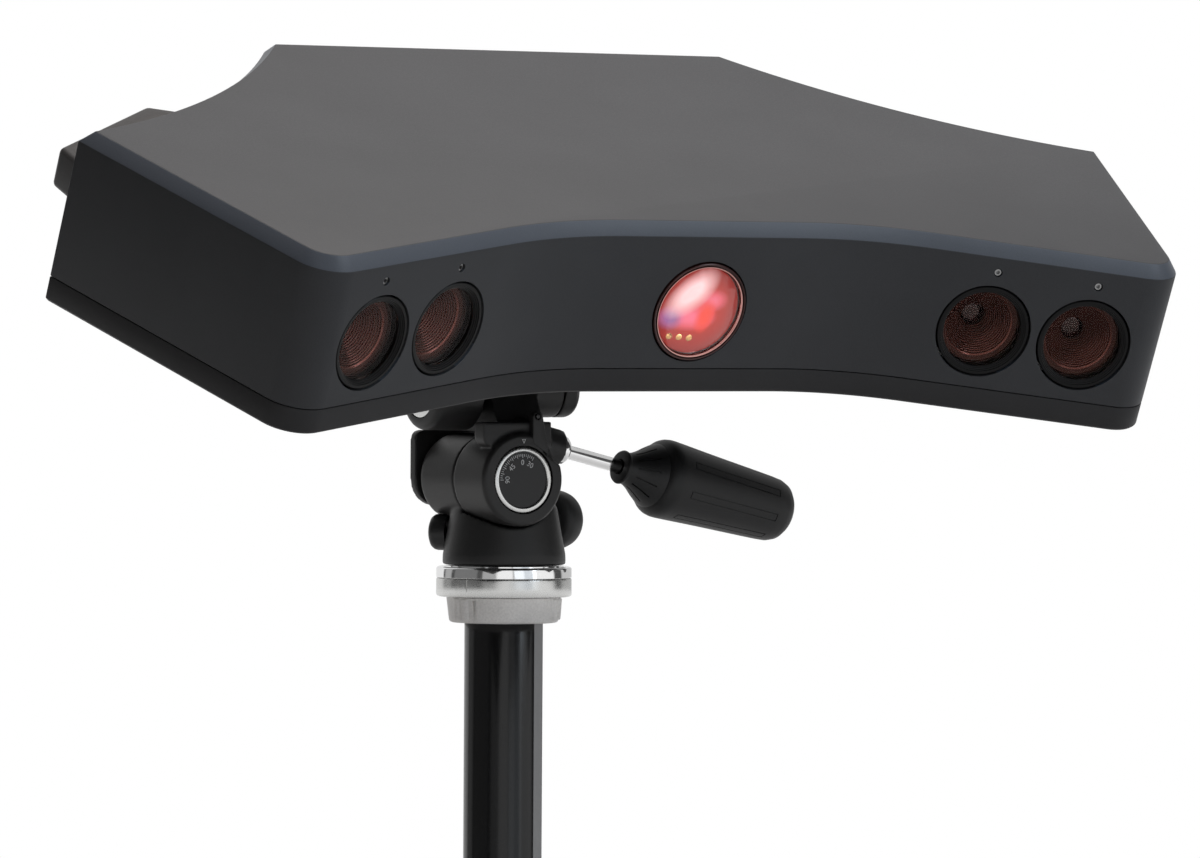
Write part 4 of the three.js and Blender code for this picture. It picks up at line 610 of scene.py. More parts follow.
HOUSING_HEIGHT = 77.8
BEVEL_HEIGHT = 5.7
BEVEL_WIDTH = 4.5
BEVEL_HIGHLIGHT_FACING = (0.45, 0.85)
COVER_EDGE = 0.45
TRAY_HEIGHT = 11.2
TRAY_CHAMFER = 1.2
TRAY_EDGE = 0.35
TRAY_SCREW_HOLE = (3.9, 2.7)
LOCK_HOLE = 1.9
TRAY_SCREW_SINK, LOCK_SCREW_SINK = 0.4, 0.8
PANEL_HALF = 43
PANEL_BOTTOM, PANEL_TOP = 28, 52


def top_cover():
    low = TRAY_HEIGHT + FIT / 2
    shell = loft([
        (housing_outline(0), low), (housing_outline(0), HOUSING_HEIGHT - BEVEL_HEIGHT),
        (housing_outline(BEVEL_WIDTH), HOUSING_HEIGHT),
    ])
    eased(shell, COVER_EDGE, angle=24)
    tools = [prism(housing_outline(HOUSING_WALL), low - OVERRUN, HOUSING_HEIGHT - HOUSING_WALL)]
    for side, distance in CAMERAS.values():
        port = disc(CAMERA_RADIUS + PORT_CLEARANCE, -OVERRUN, 3 * HOUSING_WALL, ROUND_STEPS)
        tools.append(moved(port, camera_frame(side, distance)))
        hole = disc(LOCK_HOLE, -OVERRUN, 3 * HOUSING_WALL)
        tools.append(moved(hole, camera_frame(side, distance, LOCK_HEIGHT)))
    port = disc(PROJECTOR_RADIUS + PORT_CLEARANCE, -OVERRUN, 2 * HOUSING_WALL, ROUND_STEPS)
    tools.append(moved(port, PROJECTOR))
    rear = BACK[1]
    tools.append(block(
        -PANEL_HALF, PANEL_HALF, rear - 2 * HOUSING_WALL, rear + OVERRUN, PANEL_BOTTOM, PANEL_TOP,
    ))
    carved(shell, *tools)
    mount(shell, "housing_top", PAINT, ["top_cover"], sharp=30)
    # Faces of the top bevel, picked by how far they face up, get the painted highlight
    shell.data.materials.append(BEVEL_PAINTED_HIGHLIGHT)
    up = SCANNER.to_3x3().col[2]
    low, high = BEVEL_HIGHLIGHT_FACING
    for face in shell.data.polygons:
        if low < face.normal.dot(up) < high:
            face.material_index = 1


def bottom_tray():
    top = TRAY_HEIGHT - FIT / 2
    shell = loft([
        (housing_outline(TRAY_CHAMFER), 0), (housing_outline(0), TRAY_CHAMFER), (housing_outline(0), top),
    ])
    eased(shell, TRAY_EDGE, angle=30, segments=2)
    tools = [prism(housing_outline(HOUSING_WALL + OVERRUN), HOUSING_WALL, top + OVERRUN)]
    radius, depth = TRAY_SCREW_HOLE
    tools += [shifted(disc(radius, -OVERRUN, depth), x, y) for x, y in tray_screw_places()]
    carved(shell, *tools)
    mount(shell, "housing_tray", TRAY_PAINT, ["bottom_tray"], sharp=30)


def socket_screw(radius, height, hex_radius, hex_depth):
    edge = 0.3
    head = turned([(0, 0), (radius - edge, 0), (radius, edge), (radius, height), (0, height)], SMALL_STEPS)
    return carved(head, disc(hex_radius, -OVERRUN, hex_depth, 6))


def housing_screws():
    for i, (x, y) in enumerate(tray_screw_places()):
        head = socket_screw(radius=3.4, height=2.2, hex_radius=1.7, hex_depth=1.4)
        shifted(head, x, y, TRAY_SCREW_SINK)
        mount(head, f"tray_screw_{i + 1}", STEEL)
    for name, (side, distance) in CAMERAS.items():
        screw = socket_screw(radius=1.75, height=3, hex_radius=1.0, hex_depth=1.5)
        shifted(screw, z=LOCK_SCREW_SINK)
        here = SCANNER @ camera_frame(side, distance, LOCK_HEIGHT)
        mount(screw, f"{name}_lock_screw", LOCK_STEEL_PAINTED_SHADE, matrix=here)


# Cameras, made about the lens axis with +Z into the housing

GLASS_RADIUS = 17.9
GLASS_FRONT = 2.7
GLASS_BACK = 4.3
RING_BACK = 7.0
RING_MOUTH = 17.2
BARREL_FRONT = 7.3
BARREL_RADIUS = 19.4
BARREL_MOUTH = 17.3
RETAINER_RADIUS = 15.0
PUPIL_RADIUS = 5.2
BARREL_RIBS = 13
RIB_DEPTH = 0.75
RETAINER_CHAMFER = 0.6
RETAINER_STRIP, CHAMFER_STRIP = 2, 3
LEDGE_DEPTH = 1.4
PUPIL_DEPTH = 6
BARREL_NECK = 16
BARREL_LENGTH = 12
ELEMENT_EDGE, ELEMENT_CROWN, ELEMENT_BACK = 2.0, 1.4, 4
ELEMENT_STEPS = 10


def filter_ring():
    seat, edge = GLASS_RADIUS + FIT, CAMERA_RADIUS - 1.6
    return turned([
        (seat, GLASS_FRONT - 0.2), (RING_MOUTH, GLASS_FRONT - 0.3), (RING_MOUTH + 0.1, 2.1), (17.7, 1.9),
        (17.75, 1.5), (18.3, 1.3), (18.4, 0.95), (edge, 0.8), (edge + 0.1, 0.35),
        (CAMERA_RADIUS - 0.3, 0.3), (CAMERA_RADIUS, 0.6), (CAMERA_RADIUS, RING_BACK),
        (seat - 0.9, RING_BACK), (seat - 0.9, GLASS_BACK + FIT), (seat, GLASS_BACK + FIT),
    ])


def filter_glass():
    edge = 0.35
    return turned([
        (0, GLASS_FRONT - 0.2), (GLASS_RADIUS / 2, GLASS_FRONT - 0.15),
        (GLASS_RADIUS - edge, GLASS_FRONT), (GLASS_RADIUS, GLASS_FRONT + edge),
        (GLASS_RADIUS, GLASS_BACK), (0, GLASS_BACK),
    ])


def ribbed_barrel():
    """The barrel's profile, the depth of its pupil, and the strips of its edges that get a painted
    highlight.
    """
    ledge = BARREL_FRONT + LEDGE_DEPTH
    profile = [
        (BARREL_RADIUS, BARREL_FRONT), (BARREL_MOUTH, BARREL_FRONT), (BARREL_MOUTH - 0.2, ledge),
        (RETAINER_RADIUS, ledge + 0.2), (RETAINER_RADIUS - RETAINER_CHAMFER, ledge + 0.8),
    ]
    painted_highlight_strips = [CHAMFER_STRIP]
    step = (RETAINER_RADIUS - RETAINER_CHAMFER - PUPIL_RADIUS) / BARREL_RIBS
    depth = ledge + 0.8
    for rib in range(BARREL_RIBS):
        radius = RETAINER_RADIUS - RETAINER_CHAMFER - rib * step
        painted_highlight_strips.append(len(profile) + 1)
        profile += [
            (radius - 0.05, depth + RIB_DEPTH * 0.7), (radius - step * 0.7, depth + RIB_DEPTH * 0.72),
            (radius - step, depth + RIB_DEPTH),
        ]
        depth += RIB_DEPTH
    end, shoulder = depth + PUPIL_DEPTH, BARREL_FRONT + BARREL_LENGTH
    profile += [
        (PUPIL_RADIUS, depth + 0.2), (PUPIL_RADIUS - 1, end), (0, end), (0, end + 4),
        (BARREL_NECK, end + 4), (BARREL_NECK, shoulder), (BARREL_RADIUS, shoulder),
    ]
    return turned(profile), depth, painted_highlight_strips


def front_element(depth):
    turns = [radians(90 * i / ELEMENT_STEPS) for i in range(ELEMENT_STEPS + 1)]
    edge, back = depth + ELEMENT_EDGE, depth + ELEMENT_BACK
    dome = [(PUPIL_RADIUS * sin(a), edge - ELEMENT_CROWN * cos(a)) for a in turns]
    return turned([(0, dome[0][1])] + dome[1:] + [(PUPIL_RADIUS, back), (0, back)])


def cameras():
    for name, (side, distance) in CAMERAS.items():
        here = SCANNER @ camera_frame(side, distance)
        mount(filter_ring(), f"{name}_rim", RING_BLACK, [f"{name}_filter_ring"], here)
        mount(filter_glass(), f"{name}_pane", FILTER_GLASS, [f"{name}_filter_glass"], here)
        barrel, depth, painted_highlight_strips = ribbed_barrel()
        mount(barrel, f"{name}_barrel", BARREL_BLACK, [f"{name}_lens"], here, sharp=25)
        # The rib edges and the retainer chamfer get the painted highlight; the retainer's face gets
        # painted light
        barrel.data.materials.append(BARREL_EDGE_PAINTED_HIGHLIGHT)
        barrel.data.materials.append(BARREL_FACE_PAINTED_LIGHT)
        for index, strips in ((1, painted_highlight_strips), (2, [RETAINER_STRIP])):
            for strip in strips:
                for face in barrel.data.polygons[strip * ROUND_STEPS:(strip + 1) * ROUND_STEPS]:
                    face.material_index = index
        mount(front_element(depth), f"{name}_front_element", FRONT_GLASS, matrix=here)


# Projector, made about the projection axis with +Z into the housing

PROJECTOR_FRONT = -0.6
PROJECTOR_LENS = 19.9
PROJECTOR_SEAT = 20.2
LENS_EDGE_FRONT = 0.8
LENS_EDGE_BACK = 3.3
LENS_CROWN = 5.5
LENS_STEPS = 24
RING_END = 7.4
LIGHT_FRONT, LIGHT_BACK = 3.9, 4.4
DOT_COUNT = 3
DOT_START = (9.9, -12)
DOT_PITCH = 4.6


def projector_ring():
    seat, inner = PROJECTOR_SEAT, PROJECTOR_SEAT - 0.9
    return turned([
        (seat, LENS_EDGE_BACK + FIT), (seat, 0.2), (seat + 0.4, -0.3), (seat + 0.7, -0.5),
        (seat + 0.9, 0.1), (seat + 1.2, 0.1), (seat + 1.4, PROJECTOR_FRONT),
        (PROJECTOR_RADIUS - 0.3, PROJECTOR_FRONT - 0.2), (PROJECTOR_RADIUS, PROJECTOR_FRONT + 0.2),
        (PROJECTOR_RADIUS, RING_END), (inner, RING_END), (inner, LENS_EDGE_BACK + FIT),
    ])


def projector_bezel():
    seat = PROJECTOR_SEAT
    return turned([
        (seat - 0.1, LENS_EDGE_FRONT), (seat - 0.1, 0), (seat + 0.25, -0.55), (seat + 0.65, -0.62),
        (seat + 0.75, -0.2), (seat + 0.3, 0.3),
    ])


def projector_lens():
    shares = [i / LENS_STEPS for i in range(LENS_STEPS + 1)]
    dome = [(PROJECTOR_LENS * s, LENS_EDGE_FRONT - LENS_CROWN * (1 - s ** 2)) for s in shares]
    return turned(dome + [(PROJECTOR_LENS, LENS_EDGE_BACK), (0, LENS_EDGE_BACK)])


def projector():
    here = SCANNER @ PROJECTOR
    mount(projector_ring(), "projector_rim", RING_PAINTED_RED_LIGHT, ["projector_ring"],
          here, sharp=30)
    mount(projector_bezel(), "projector_bezel", BEZEL_PAINTED_RED_REFLECTION, matrix=here)
    mount(projector_lens(), "projector_dome", PROJECTOR_GLASS, ["projector_lens"], here)
    # Painted light: an emissive disc behind the lens, with painted reflections and a painted highlight
    light = disc(PROJECTOR_LENS - 0.6, LIGHT_FRONT, LIGHT_BACK, ROUND_STEPS)
    mount(light, "projector_painted_light", PAINTED_GLOW, matrix=here)
    x, y = DOT_START
    for i in range(DOT_COUNT):
        dot = turned([(0, 3.5), (0.6, 3.4), (1.1, 3.5), (1.5, 3.88), (0, 3.88)], SMALL_STEPS)
        shifted(dot, x - i * DOT_PITCH, y)
        mount(dot, f"projector_contact_{i + 1}", GOLD, matrix=here)


# Carry handles

HANDLE_BAR = 40.7
HANDLE_FOOT = 60.5
HANDLE_REACH = 28.8
HANDLE_THICKNESS = 11.0
HANDLE_HEIGHT = 18.0
HANDLE_MIDDLE = 39.0
HANDLE_EDGE = 2.4
BAR_NARROWING = 0.6
FOOT_NARROWING = 1.35


def carry_handle(side):
    wing, back = Vector((side * WING[0], WING[1], 0)), Vector((side * BACK[0], BACK[1], 0))
    up = Vector((0, 0, 1))
    along = (wing - back).normalized() * side
    outward = up.cross(along)
    inner = HANDLE_REACH - HANDLE_THICKNESS
    foot = -REAR_SAGITTA - HOUSING_WALL
    outer_foot = HANDLE_BAR + (HANDLE_FOOT - HANDLE_BAR) * (HANDLE_REACH - foot) / HANDLE_REACH
    inner_bar = HANDLE_BAR - HANDLE_THICKNESS * BAR_NARROWING
    inner_foot = outer_foot - HANDLE_THICKNESS * FOOT_NARROWING
    outline = [
        (outer_foot, foot), (HANDLE_BAR, HANDLE_REACH), (-HANDLE_BAR, HANDLE_REACH), (-outer_foot, foot),
        (-inner_foot, foot), (-inner_bar, inner), (inner_bar, inner), (inner_foot, foot),
    ]
    half = HANDLE_HEIGHT / 2
    bar = eased(prism(outline, -half, half), HANDLE_EDGE, angle=40, segments=4)
    moved(bar, basis(along, outward, up, (wing + back) / 2 + up * HANDLE_MIDDLE))
    wall = prism(housing_outline(-FIT), HANDLE_MIDDLE - HANDLE_HEIGHT, HANDLE_MIDDLE + HANDLE_HEIGHT)
    return carved(bar, wall)


def carry_handles():
    for name, side in (("carry_handle_left", -1), ("carry_handle_right", 1)):
        mount(carry_handle(side), f"{name}_bar", HANDLE_PLASTIC, [name], sharp=40)


# Column, its head and the two discs

COLUMN_RADIUS = 17.4
COLUMN_WALL = 2.4
COLUMN_TOP = 226.0
TUBE_BOTTOM, TUBE_TOP = 3.3, 234
TUBE_CHAMFER = 0.3
PLUG_RADIUS, PLUG_TOP = 14.7, 17
CUP_TOP = 237.5
PLATE_TOP = 245.7
DISC_TOP = 250.7
PLATE_RADIUS = 30.0
COLUMN_FLAT = radians(-51)
FLAT_DEPTH = 0.95
STRIP_FACING, STRIP_AREA = 0.9999, 1e-5
CUP_RIB_PLACE = 23.5
CUP_RIB_TOP = 236.6
CUP_LUG_ANGLES = [radians(angle) for angle in (-165.6, -45.6, 74.4)]
CUP_RIB_TURNS = [radians(angle) for angle in (-12, 0.5)]
CUP_GROOVE_TURN = radians(13.5)
CUP_GROOVE_HALF = 0.8
CUP_LUG_BOTTOM = COLUMN_TOP + 1.4
SPIGOT_RADIUS, SPIGOT_HEIGHT = 4.7, 9
INDEX_ANGLE = radians(-154.4)
INDEX_HALF, INDEX_LENGTH, INDEX_DEPTH = 0.2, 5.2, 0.3


def column():
    bore = COLUMN_RADIUS - COLUMN_WALL
    tube = turned([
        (bore, TUBE_BOTTOM), (COLUMN_RADIUS - TUBE_CHAMFER, TUBE_BOTTOM), (COLUMN_RADIUS, 3.6),
        (COLUMN_RADIUS, 233.6), (COLUMN_RADIUS - TUBE_CHAMFER, TUBE_TOP), (bore, TUBE_TOP),
    ], 2 * ROUND_STEPS)
    flat = block(
        COLUMN_RADIUS - FLAT_DEPTH, COLUMN_RADIUS + OVERRUN, -COLUMN_RADIUS, COLUMN_RADIUS,
        0, TUBE_TOP + OVERRUN,
    )
    carved(tube, swung(flat, COLUMN_FLAT))
    place(tube, "column", "stand", GLOSS_BLACK, ["column_tube"])
    tube.data.materials.append(STRIP_GREY)
    facing = Vector((cos(COLUMN_FLAT), sin(COLUMN_FLAT), 0))
    for face in tube.data.polygons:
        if face.normal.dot(facing) > STRIP_FACING and face.area > STRIP_AREA:
            face.material_index = 1


def column_foot():
    foot = turned([
        (0, 0), (COLUMN_RADIUS - 0.8, 0), (COLUMN_RADIUS - 0.2, 0.2), (COLUMN_RADIUS, 0.8),
        (COLUMN_RADIUS, 2.6), (COLUMN_RADIUS - 0.3, 3), (PLUG_RADIUS, 3), (PLUG_RADIUS, PLUG_TOP),
        (0, PLUG_TOP),
    ])
    place(foot, "column_plug", "stand", GRIP_RUBBER, ["column_foot"])


def column_head():
    bore = COLUMN_RADIUS + FIT
    cup = turned([
        (bore, COLUMN_TOP), (23.0, COLUMN_TOP), (23.9, COLUMN_TOP + 0.4), (24.3, COLUMN_TOP + 1.3),
        (25.5, CUP_TOP - FIT), (0, CUP_TOP - FIT), (0, 234.3), (bore, 234.3),
    ])
    ribs, grooves = [], []
    for angle in CUP_LUG_ANGLES:
        for turn in CUP_RIB_TURNS:
            rib = turned([
                (0, CUP_LUG_BOTTOM), (1.9, CUP_LUG_BOTTOM), (2.3, CUP_LUG_BOTTOM + 0.6),
                (2.9, CUP_RIB_TOP), (0, CUP_RIB_TOP),
            ], SMALL_STEPS)
            ribs.append(swung(shifted(rib, CUP_RIB_PLACE), angle + turn))
        groove = block(24.1, 28, -CUP_GROOVE_HALF, CUP_GROOVE_HALF, COLUMN_TOP - OVERRUN, 236)
        grooves.append(swung(groove, angle + CUP_GROOVE_TURN))
    joined(carved(cup, *grooves), *ribs)
    place(cup, "column_cup", "stand", CAST_METAL, ["column_head"], sharp=50)


def discs():
    plate = turned([
        (0, CUP_TOP), (PLATE_RADIUS - 1, CUP_TOP), (PLATE_RADIUS - 0.3, CUP_TOP + 0.3),
        (PLATE_RADIUS, CUP_TOP + 1), (PLATE_RADIUS, PLATE_TOP - 0.7),
        (PLATE_RADIUS - 0.2, PLATE_TOP - 0.2), (PLATE_RADIUS - 0.7, PLATE_TOP),
        (SPIGOT_RADIUS, PLATE_TOP), (SPIGOT_RADIUS, PLATE_TOP + SPIGOT_HEIGHT),
        (0, PLATE_TOP + SPIGOT_HEIGHT),
    ])
    mark = block(
        PLATE_RADIUS - INDEX_DEPTH, PLATE_RADIUS + OVERRUN, -INDEX_HALF, INDEX_HALF,
        PLATE_TOP - INDEX_LENGTH, PLATE_TOP + OVERRUN,
    )
    carved(plate, swung(mark, INDEX_ANGLE))
    place(plate, "column_plate", "stand", SATIN, ["top_plate"])
    ring = turned([
        (5, PLATE_TOP), (PLATE_RADIUS - 0.4, PLATE_TOP), (PLATE_RADIUS, PLATE_TOP + 0.4),
        (PLATE_RADIUS, DISC_TOP - 0.9), (PLATE_RADIUS - 0.3, DISC_TOP - 0.35),
        (PLATE_RADIUS - 1, DISC_TOP), (26.6, DISC_TOP), (26.5, DISC_TOP + 0.5), (5, DISC_TOP + 0.5),
    ])
    place(ring, "pan_base_ring", "stand", POLISHED, ["base_disc"])


# Pan head

LOCK_BOSS_RADIUS = 8
FRICTION_SEAT_RADIUS = 8.5
ROLL_RADIUS, ROLL_ROOM_RADIUS = 20, 21.3
PAN_PROFILE = [
    (0, 0), (26.7, 0), (27.3, 0.6), (27.2, 4.4), (26.4, 8.8), (25.4, 14), (24.5, 19), (23.4, 25),
    (21.6, 28.5), (17.8, 32), (0, 32),
]


def heading(angle):
    return (cos(angle), sin(angle), 0)


PAN_LOCK = ((0, 0, PAN_BOTTOM + 18.9), heading(radians(25.9)))
FRICTION = ((0, 0, PAN_BOTTOM + 13.9), heading(radians(130)))


def pan_body():
    base = turned([(radius, PAN_BOTTOM + height) for radius, height in PAN_PROFILE])
    barrel = turned([(0, -2), (ROLL_RADIUS, -2), (ROLL_RADIUS, 25), (19, 27.4), (16.6, 28.6), (0, 28.6)])
    moved(barrel, ROLL @ ALONG_Y)
    boss = aimed(disc(LOCK_BOSS_RADIUS, 12, 34.6), *PAN_LOCK)
    joined(base, barrel, boss)
    room = moved(disc(ROLL_ROOM_RADIUS, -31.4, -2, ROUND_STEPS), ROLL @ ALONG_Y)
    seat = aimed(disc(FRICTION_SEAT_RADIUS, 25.1, 33.5), *FRICTION)
    cast(carved(base, room, seat))
    place(base, "pan_casting", "pan_head", CAST_BLACK, ["pan_body"], sharp=45)


def pan_knobs():
    knob = turned([
        (0, 35), (9, 35), (10.8, 35.4), (12.4, 36.8), (13.1, 38.8), (13.1, 43.6), (12.6, 45.6),
        (11.2, 47.1), (8.8, 47.9), (6, 48), (0, 48),
    ])
    place(aimed(knob, *PAN_LOCK), "pan_lock_grip", "pan_lock", KNOB_GREY,
          ["pan_lock_knob"])
    button = turned([
        (0, 16.5), (2.5, 16.5), (2.5, 25.5), (8.1, 25.5), (8.1, 30.6), (7.8, 31.9), (6.9, 33.1),
        (5.4, 33.8), (2.9, 33.9), (2.7, 32.5), (0, 32.4),
    ])
    place(aimed(button, *FRICTION), "pan_friction_button", "pan_friction", BLACK_PLASTIC,
          ["pan_friction_knob"])


# Side-tilt bracket, in the frame of its own axis

DRUM_RADIUS = 20.5
DRUM_FRONT = 29.4
DIAL_RADIUS = 14.7
DIAL_FRONT = 28.9
DIAL_BORE = 12.3
TUBE_RADIUS, AXLE_BORE = 12, 5.4
BOSS_RADIUS, ROD_BORE = 8.5, 3.5
TUBE = Matrix.Translation((0, 0, 38.9)) @ ALONG_X
BOSS_END = (26.1, -14.45, 13.3)
DROOP = radians(13.4)
YAW = radians(3.6)
HANDLE_WAY = (cos(DROOP) * cos(YAW), cos(DROOP) * sin(YAW), -sin(DROOP))


def side_tilt_bracket():
    body = moved(turned([
        (0, 3), (DRUM_RADIUS, 3), (DRUM_RADIUS, DRUM_FRONT - 1.2), (DRUM_RADIUS - 1.2, DRUM_FRONT),
        (0, DRUM_FRONT),
    ]), UPRIGHT)
    shoulder = prism(arc(-15, 18.6, 4, 180, 270) + [(17, 14.6), (17, 25.4), (-19, 25.4)], 18.5, 27)
    bridge = prism([
        (-27, 14.6), (-3, 14.6), (-3, 20.9), (34.4, 20.9), (34.4, 26), (12.6, 26), (11.4, 38.9),
        (-11.4, 38.9), (-18.5, 25.4), (-27, 25.4),
    ], -7, 17)
    plate = prism(
        arc(-8.3, -0.8, 12, 180, 270) + arc(8.3, -0.8, 12, 270, 360)
        + arc(16.3, 17, 4, 0, 90) + arc(-16.3, 17, 4, 90, 180),
        -34.4, -30,
    )
    tube = moved(disc(TUBE_RADIUS, -7, 32.1, ROUND_STEPS), TUBE)
    boss = aimed(disc(BOSS_RADIUS, -26, 0, ROUND_STEPS), BOSS_END, HANDLE_WAY)
    joined(body, moved(shoulder, UPRIGHT), moved(bridge, SIDEWAYS), tube, moved(plate, UPRIGHT), boss)
    outline = [(24, 4), (24, 27), (10.2, 27), (10.2, 12.5), (14, 9.5), (19, 6.5)]
    recess = prism(outline, 25, DRUM_FRONT + OVERRUN)
    cast(carved(body, moved(recess, UPRIGHT)))
    seat = moved(disc(DIAL_RADIUS + 0.4, 26.2, DRUM_FRONT + OVERRUN, ROUND_STEPS), UPRIGHT)
    axle = moved(disc(AXLE_BORE, -9, 34), TUBE)
    rod = aimed(disc(ROD_BORE, -14.4, OVERRUN), BOSS_END, HANDLE_WAY)
    carved(body, seat, axle, rod)
    place(body, "side_tilt_casting", "side_tilt", CAST_BLACK,
          ["side_tilt_bracket"], ROLL, sharp=45)


POINTER_PIN = (7.0, 27.9)
POINTER_EDGE = 0.6


def faced(obj, name, body, material, nodes=()):
    """Places a piece that was made looking along +Z so that it faces the front on the side-tilt axis."""
    place(moved(obj, UPRIGHT), name, body, material, nodes, ROLL)


def side_tilt_trim():
    front = DRUM_FRONT + 0.3
    outline = [(4.6, 16), (12.6, 11), (12.2, 15.5), (10.9, 21.5)] + arc(7.2, 27.6, 2.6, 0, 180, 24)
    tab = prism(outline, 25, front)
    eased(tab, POINTER_EDGE, angle=40)
    seat = disc(DIAL_RADIUS + 0.5, 20, front + OVERRUN, ROUND_STEPS)
    carved(tab, seat, shifted(disc(1.7, front - 1.2, front + OVERRUN), *POINTER_PIN))
    faced(tab, "pointer_tab", "side_tilt", CAST_BLACK)
    nub = turned([
        (0, 27), (1.25, 27), (1.25, front - 0.5), (0.9, front + 0.3), (0, front + 0.4),
    ], SMALL_STEPS)
    shifted(nub, *POINTER_PIN)
    faced(nub, "pointer_pin", "side_tilt", BLACK_METAL)
    triangle = prism([(0, 15.9), (1.0, 17.9), (-1.0, 17.9)], DRUM_FRONT - 0.2, DRUM_FRONT + 0.06)
    carved(triangle, prism([(0, 16.5), (0.6, 17.7), (-0.6, 17.7)], DRUM_FRONT - 1, DRUM_FRONT + 1))
    faced(triangle, "dial_pointer", "side_tilt", DIAL_WHITE)


TICK_COUNT = 25
TICK_STEP = 5
TICK_START = -30
TICK_HALF = 0.13
TICK_LONG, TICK_SHORT, TICK_END = 9.7, 10.3, 11.4
MARK_RELIEF = 0.05
DIAL_NUMBERS = ((90, 90), (45, 45), (0, 0), (30, -30))
NUMBER_SIZE = 3.3
NUMBER_RADIUS = 7.6


def dial():
    edge = DIAL_FRONT + 0.45
    ring = turned([
        (DIAL_BORE, DIAL_FRONT - 2.4), (DIAL_RADIUS, DIAL_FRONT - 2.4), (DIAL_RADIUS, DIAL_FRONT - 0.4),
        (DIAL_RADIUS - 0.3, DIAL_FRONT + 0.15), (DIAL_RADIUS - 0.8, edge), (12.8, edge),
        (12.4, DIAL_FRONT + 0.1), (DIAL_BORE, DIAL_FRONT - 0.3),
    ])
    faced(ring, "dial_bezel", "pan_head", SATIN, ["dial_ring"])
    face = disc(12.2, DIAL_FRONT - 2.4, DIAL_FRONT - 0.5, ROUND_STEPS)
    faced(face, "dial_plate", "pan_head", DIAL_BLACK, ["dial_face"])
    height = DIAL_FRONT - 0.5
    ticks = []
    for i in range(TICK_COUNT):
        inner = TICK_LONG if i % 3 == 0 else TICK_SHORT
        tick = block(-TICK_HALF, TICK_HALF, inner, TICK_END, height - 0.1, height + MARK_RELIEF)
        ticks.append(swung(tick, radians(TICK_STEP * i + TICK_START)))
    marks = joined(ticks[0], *ticks[1:])
    faced(marks, "dial_ticks", "pan_head", DIAL_WHITE)
    for number, turn in DIAL_NUMBERS:
        writing = shifted(written(str(number), NUMBER_SIZE), y=NUMBER_RADIUS, z=height)
        swung(writing, radians(turn))
        faced(writing, f"dial_number_{number}", "pan_head", DIAL_WHITE)


def written(text, size):
    curve = bpy.data.curves.new("writing", "FONT")
    curve.body = text
    curve.size = size
    curve.extrude = MARK_RELIEF
    curve.align_x = "CENTER"
    curve.align_y = "CENTER"
    flat = linked("writing", curve)
    mesh = evaluated(flat)
    bpy.data.objects.remove(flat)
    bpy.data.curves.remove(curve)
    return linked("writing", mesh)


# Locking handle, made along +Z from the end of its boss

HANDLE_TURN = Vector((0, 0, 1)).rotation_difference(Vector(HANDLE_WAY)).to_matrix().to_4x4()
HANDLE = ROLL @ Matrix.Translation(BOSS_END) @ HANDLE_TURN
ROD_RADIUS = 3.1
NECK_BORE = 3.4
NECK_LENGTH = 17.8
NECK_SLOTS = 12
NECK_START = 35.2
NECK_LEAN = atan2(5.0, 8.6)
SLOT_HALF, SLOT_REACH = 0.38, 4.8
SLOT_PLACE, SLOT_HEIGHT = 10.1, 10.0
GRIP_START = 53.3
GRIP_LENGTH = 74.9
GRIP_LINE_PAIRS = 8
GRIP_LINE_START = 12.0
GRIP_LINE_LENGTH = 51.0
GRIP_LINE_DEPTH = 0.5
GRIP_LINE_PLACE = 1.6
GRIP_LINE_HALF = 0.2
GRIP_SIDE = 17.55
GRIP_TAPER = atan2(2.8, GRIP_LINE_LENGTH)


def handle_rod():
    rod = turned([
        (0, -14), (ROD_RADIUS, -14), (ROD_RADIUS, 0.3), (5.4, 0.3), (6.3, 1), (6.3, 3), (5.6, 4),
        (3.4, 4.2), (ROD_RADIUS, 4.6), (ROD_RADIUS, 81), (0, 81),
    ])
    place(rod, "handle_shaft", "locking_handle", POLISHED, ["handle_rod"], HANDLE)


def handle_neck():
    neck = turned([
        (NECK_BORE, 1), (3.6, 0), (6.4, 0), (7.3, 0.4), (7.65, 1.1), (7.5, 1.8), (6.9, 2.2), (6.9, 2.7),
        (7.2, 4.1), (7.9, 6.1), (8.8, 8.0), (10.0, 10.1), (11.3, 12.0), (12.5, 13.9), (13.5, 15.6),
        (14.3, 17.0), (14.6, NECK_LENGTH), (NECK_BORE, NECK_LENGTH),
    ])
    outline = arc(SLOT_REACH, 0, SLOT_HALF, -90, 90, 8) + arc(-SLOT_REACH, 0, SLOT_HALF, 90, 270, 8)
    slots = []
    for i in range(NECK_SLOTS):
        slot = moved(prism(outline, -0.8, 3), ALONG_X)
        swung(slot, NECK_LEAN, "Y")
        slots.append(swung(shifted(slot, SLOT_PLACE, z=SLOT_HEIGHT), TURN * i / NECK_SLOTS))
    shifted(carved(neck, *slots), z=NECK_START)
    place(neck, "handle_neck", "locking_handle", GRIP_RUBBER, ["handle_ferrule"], HANDLE)


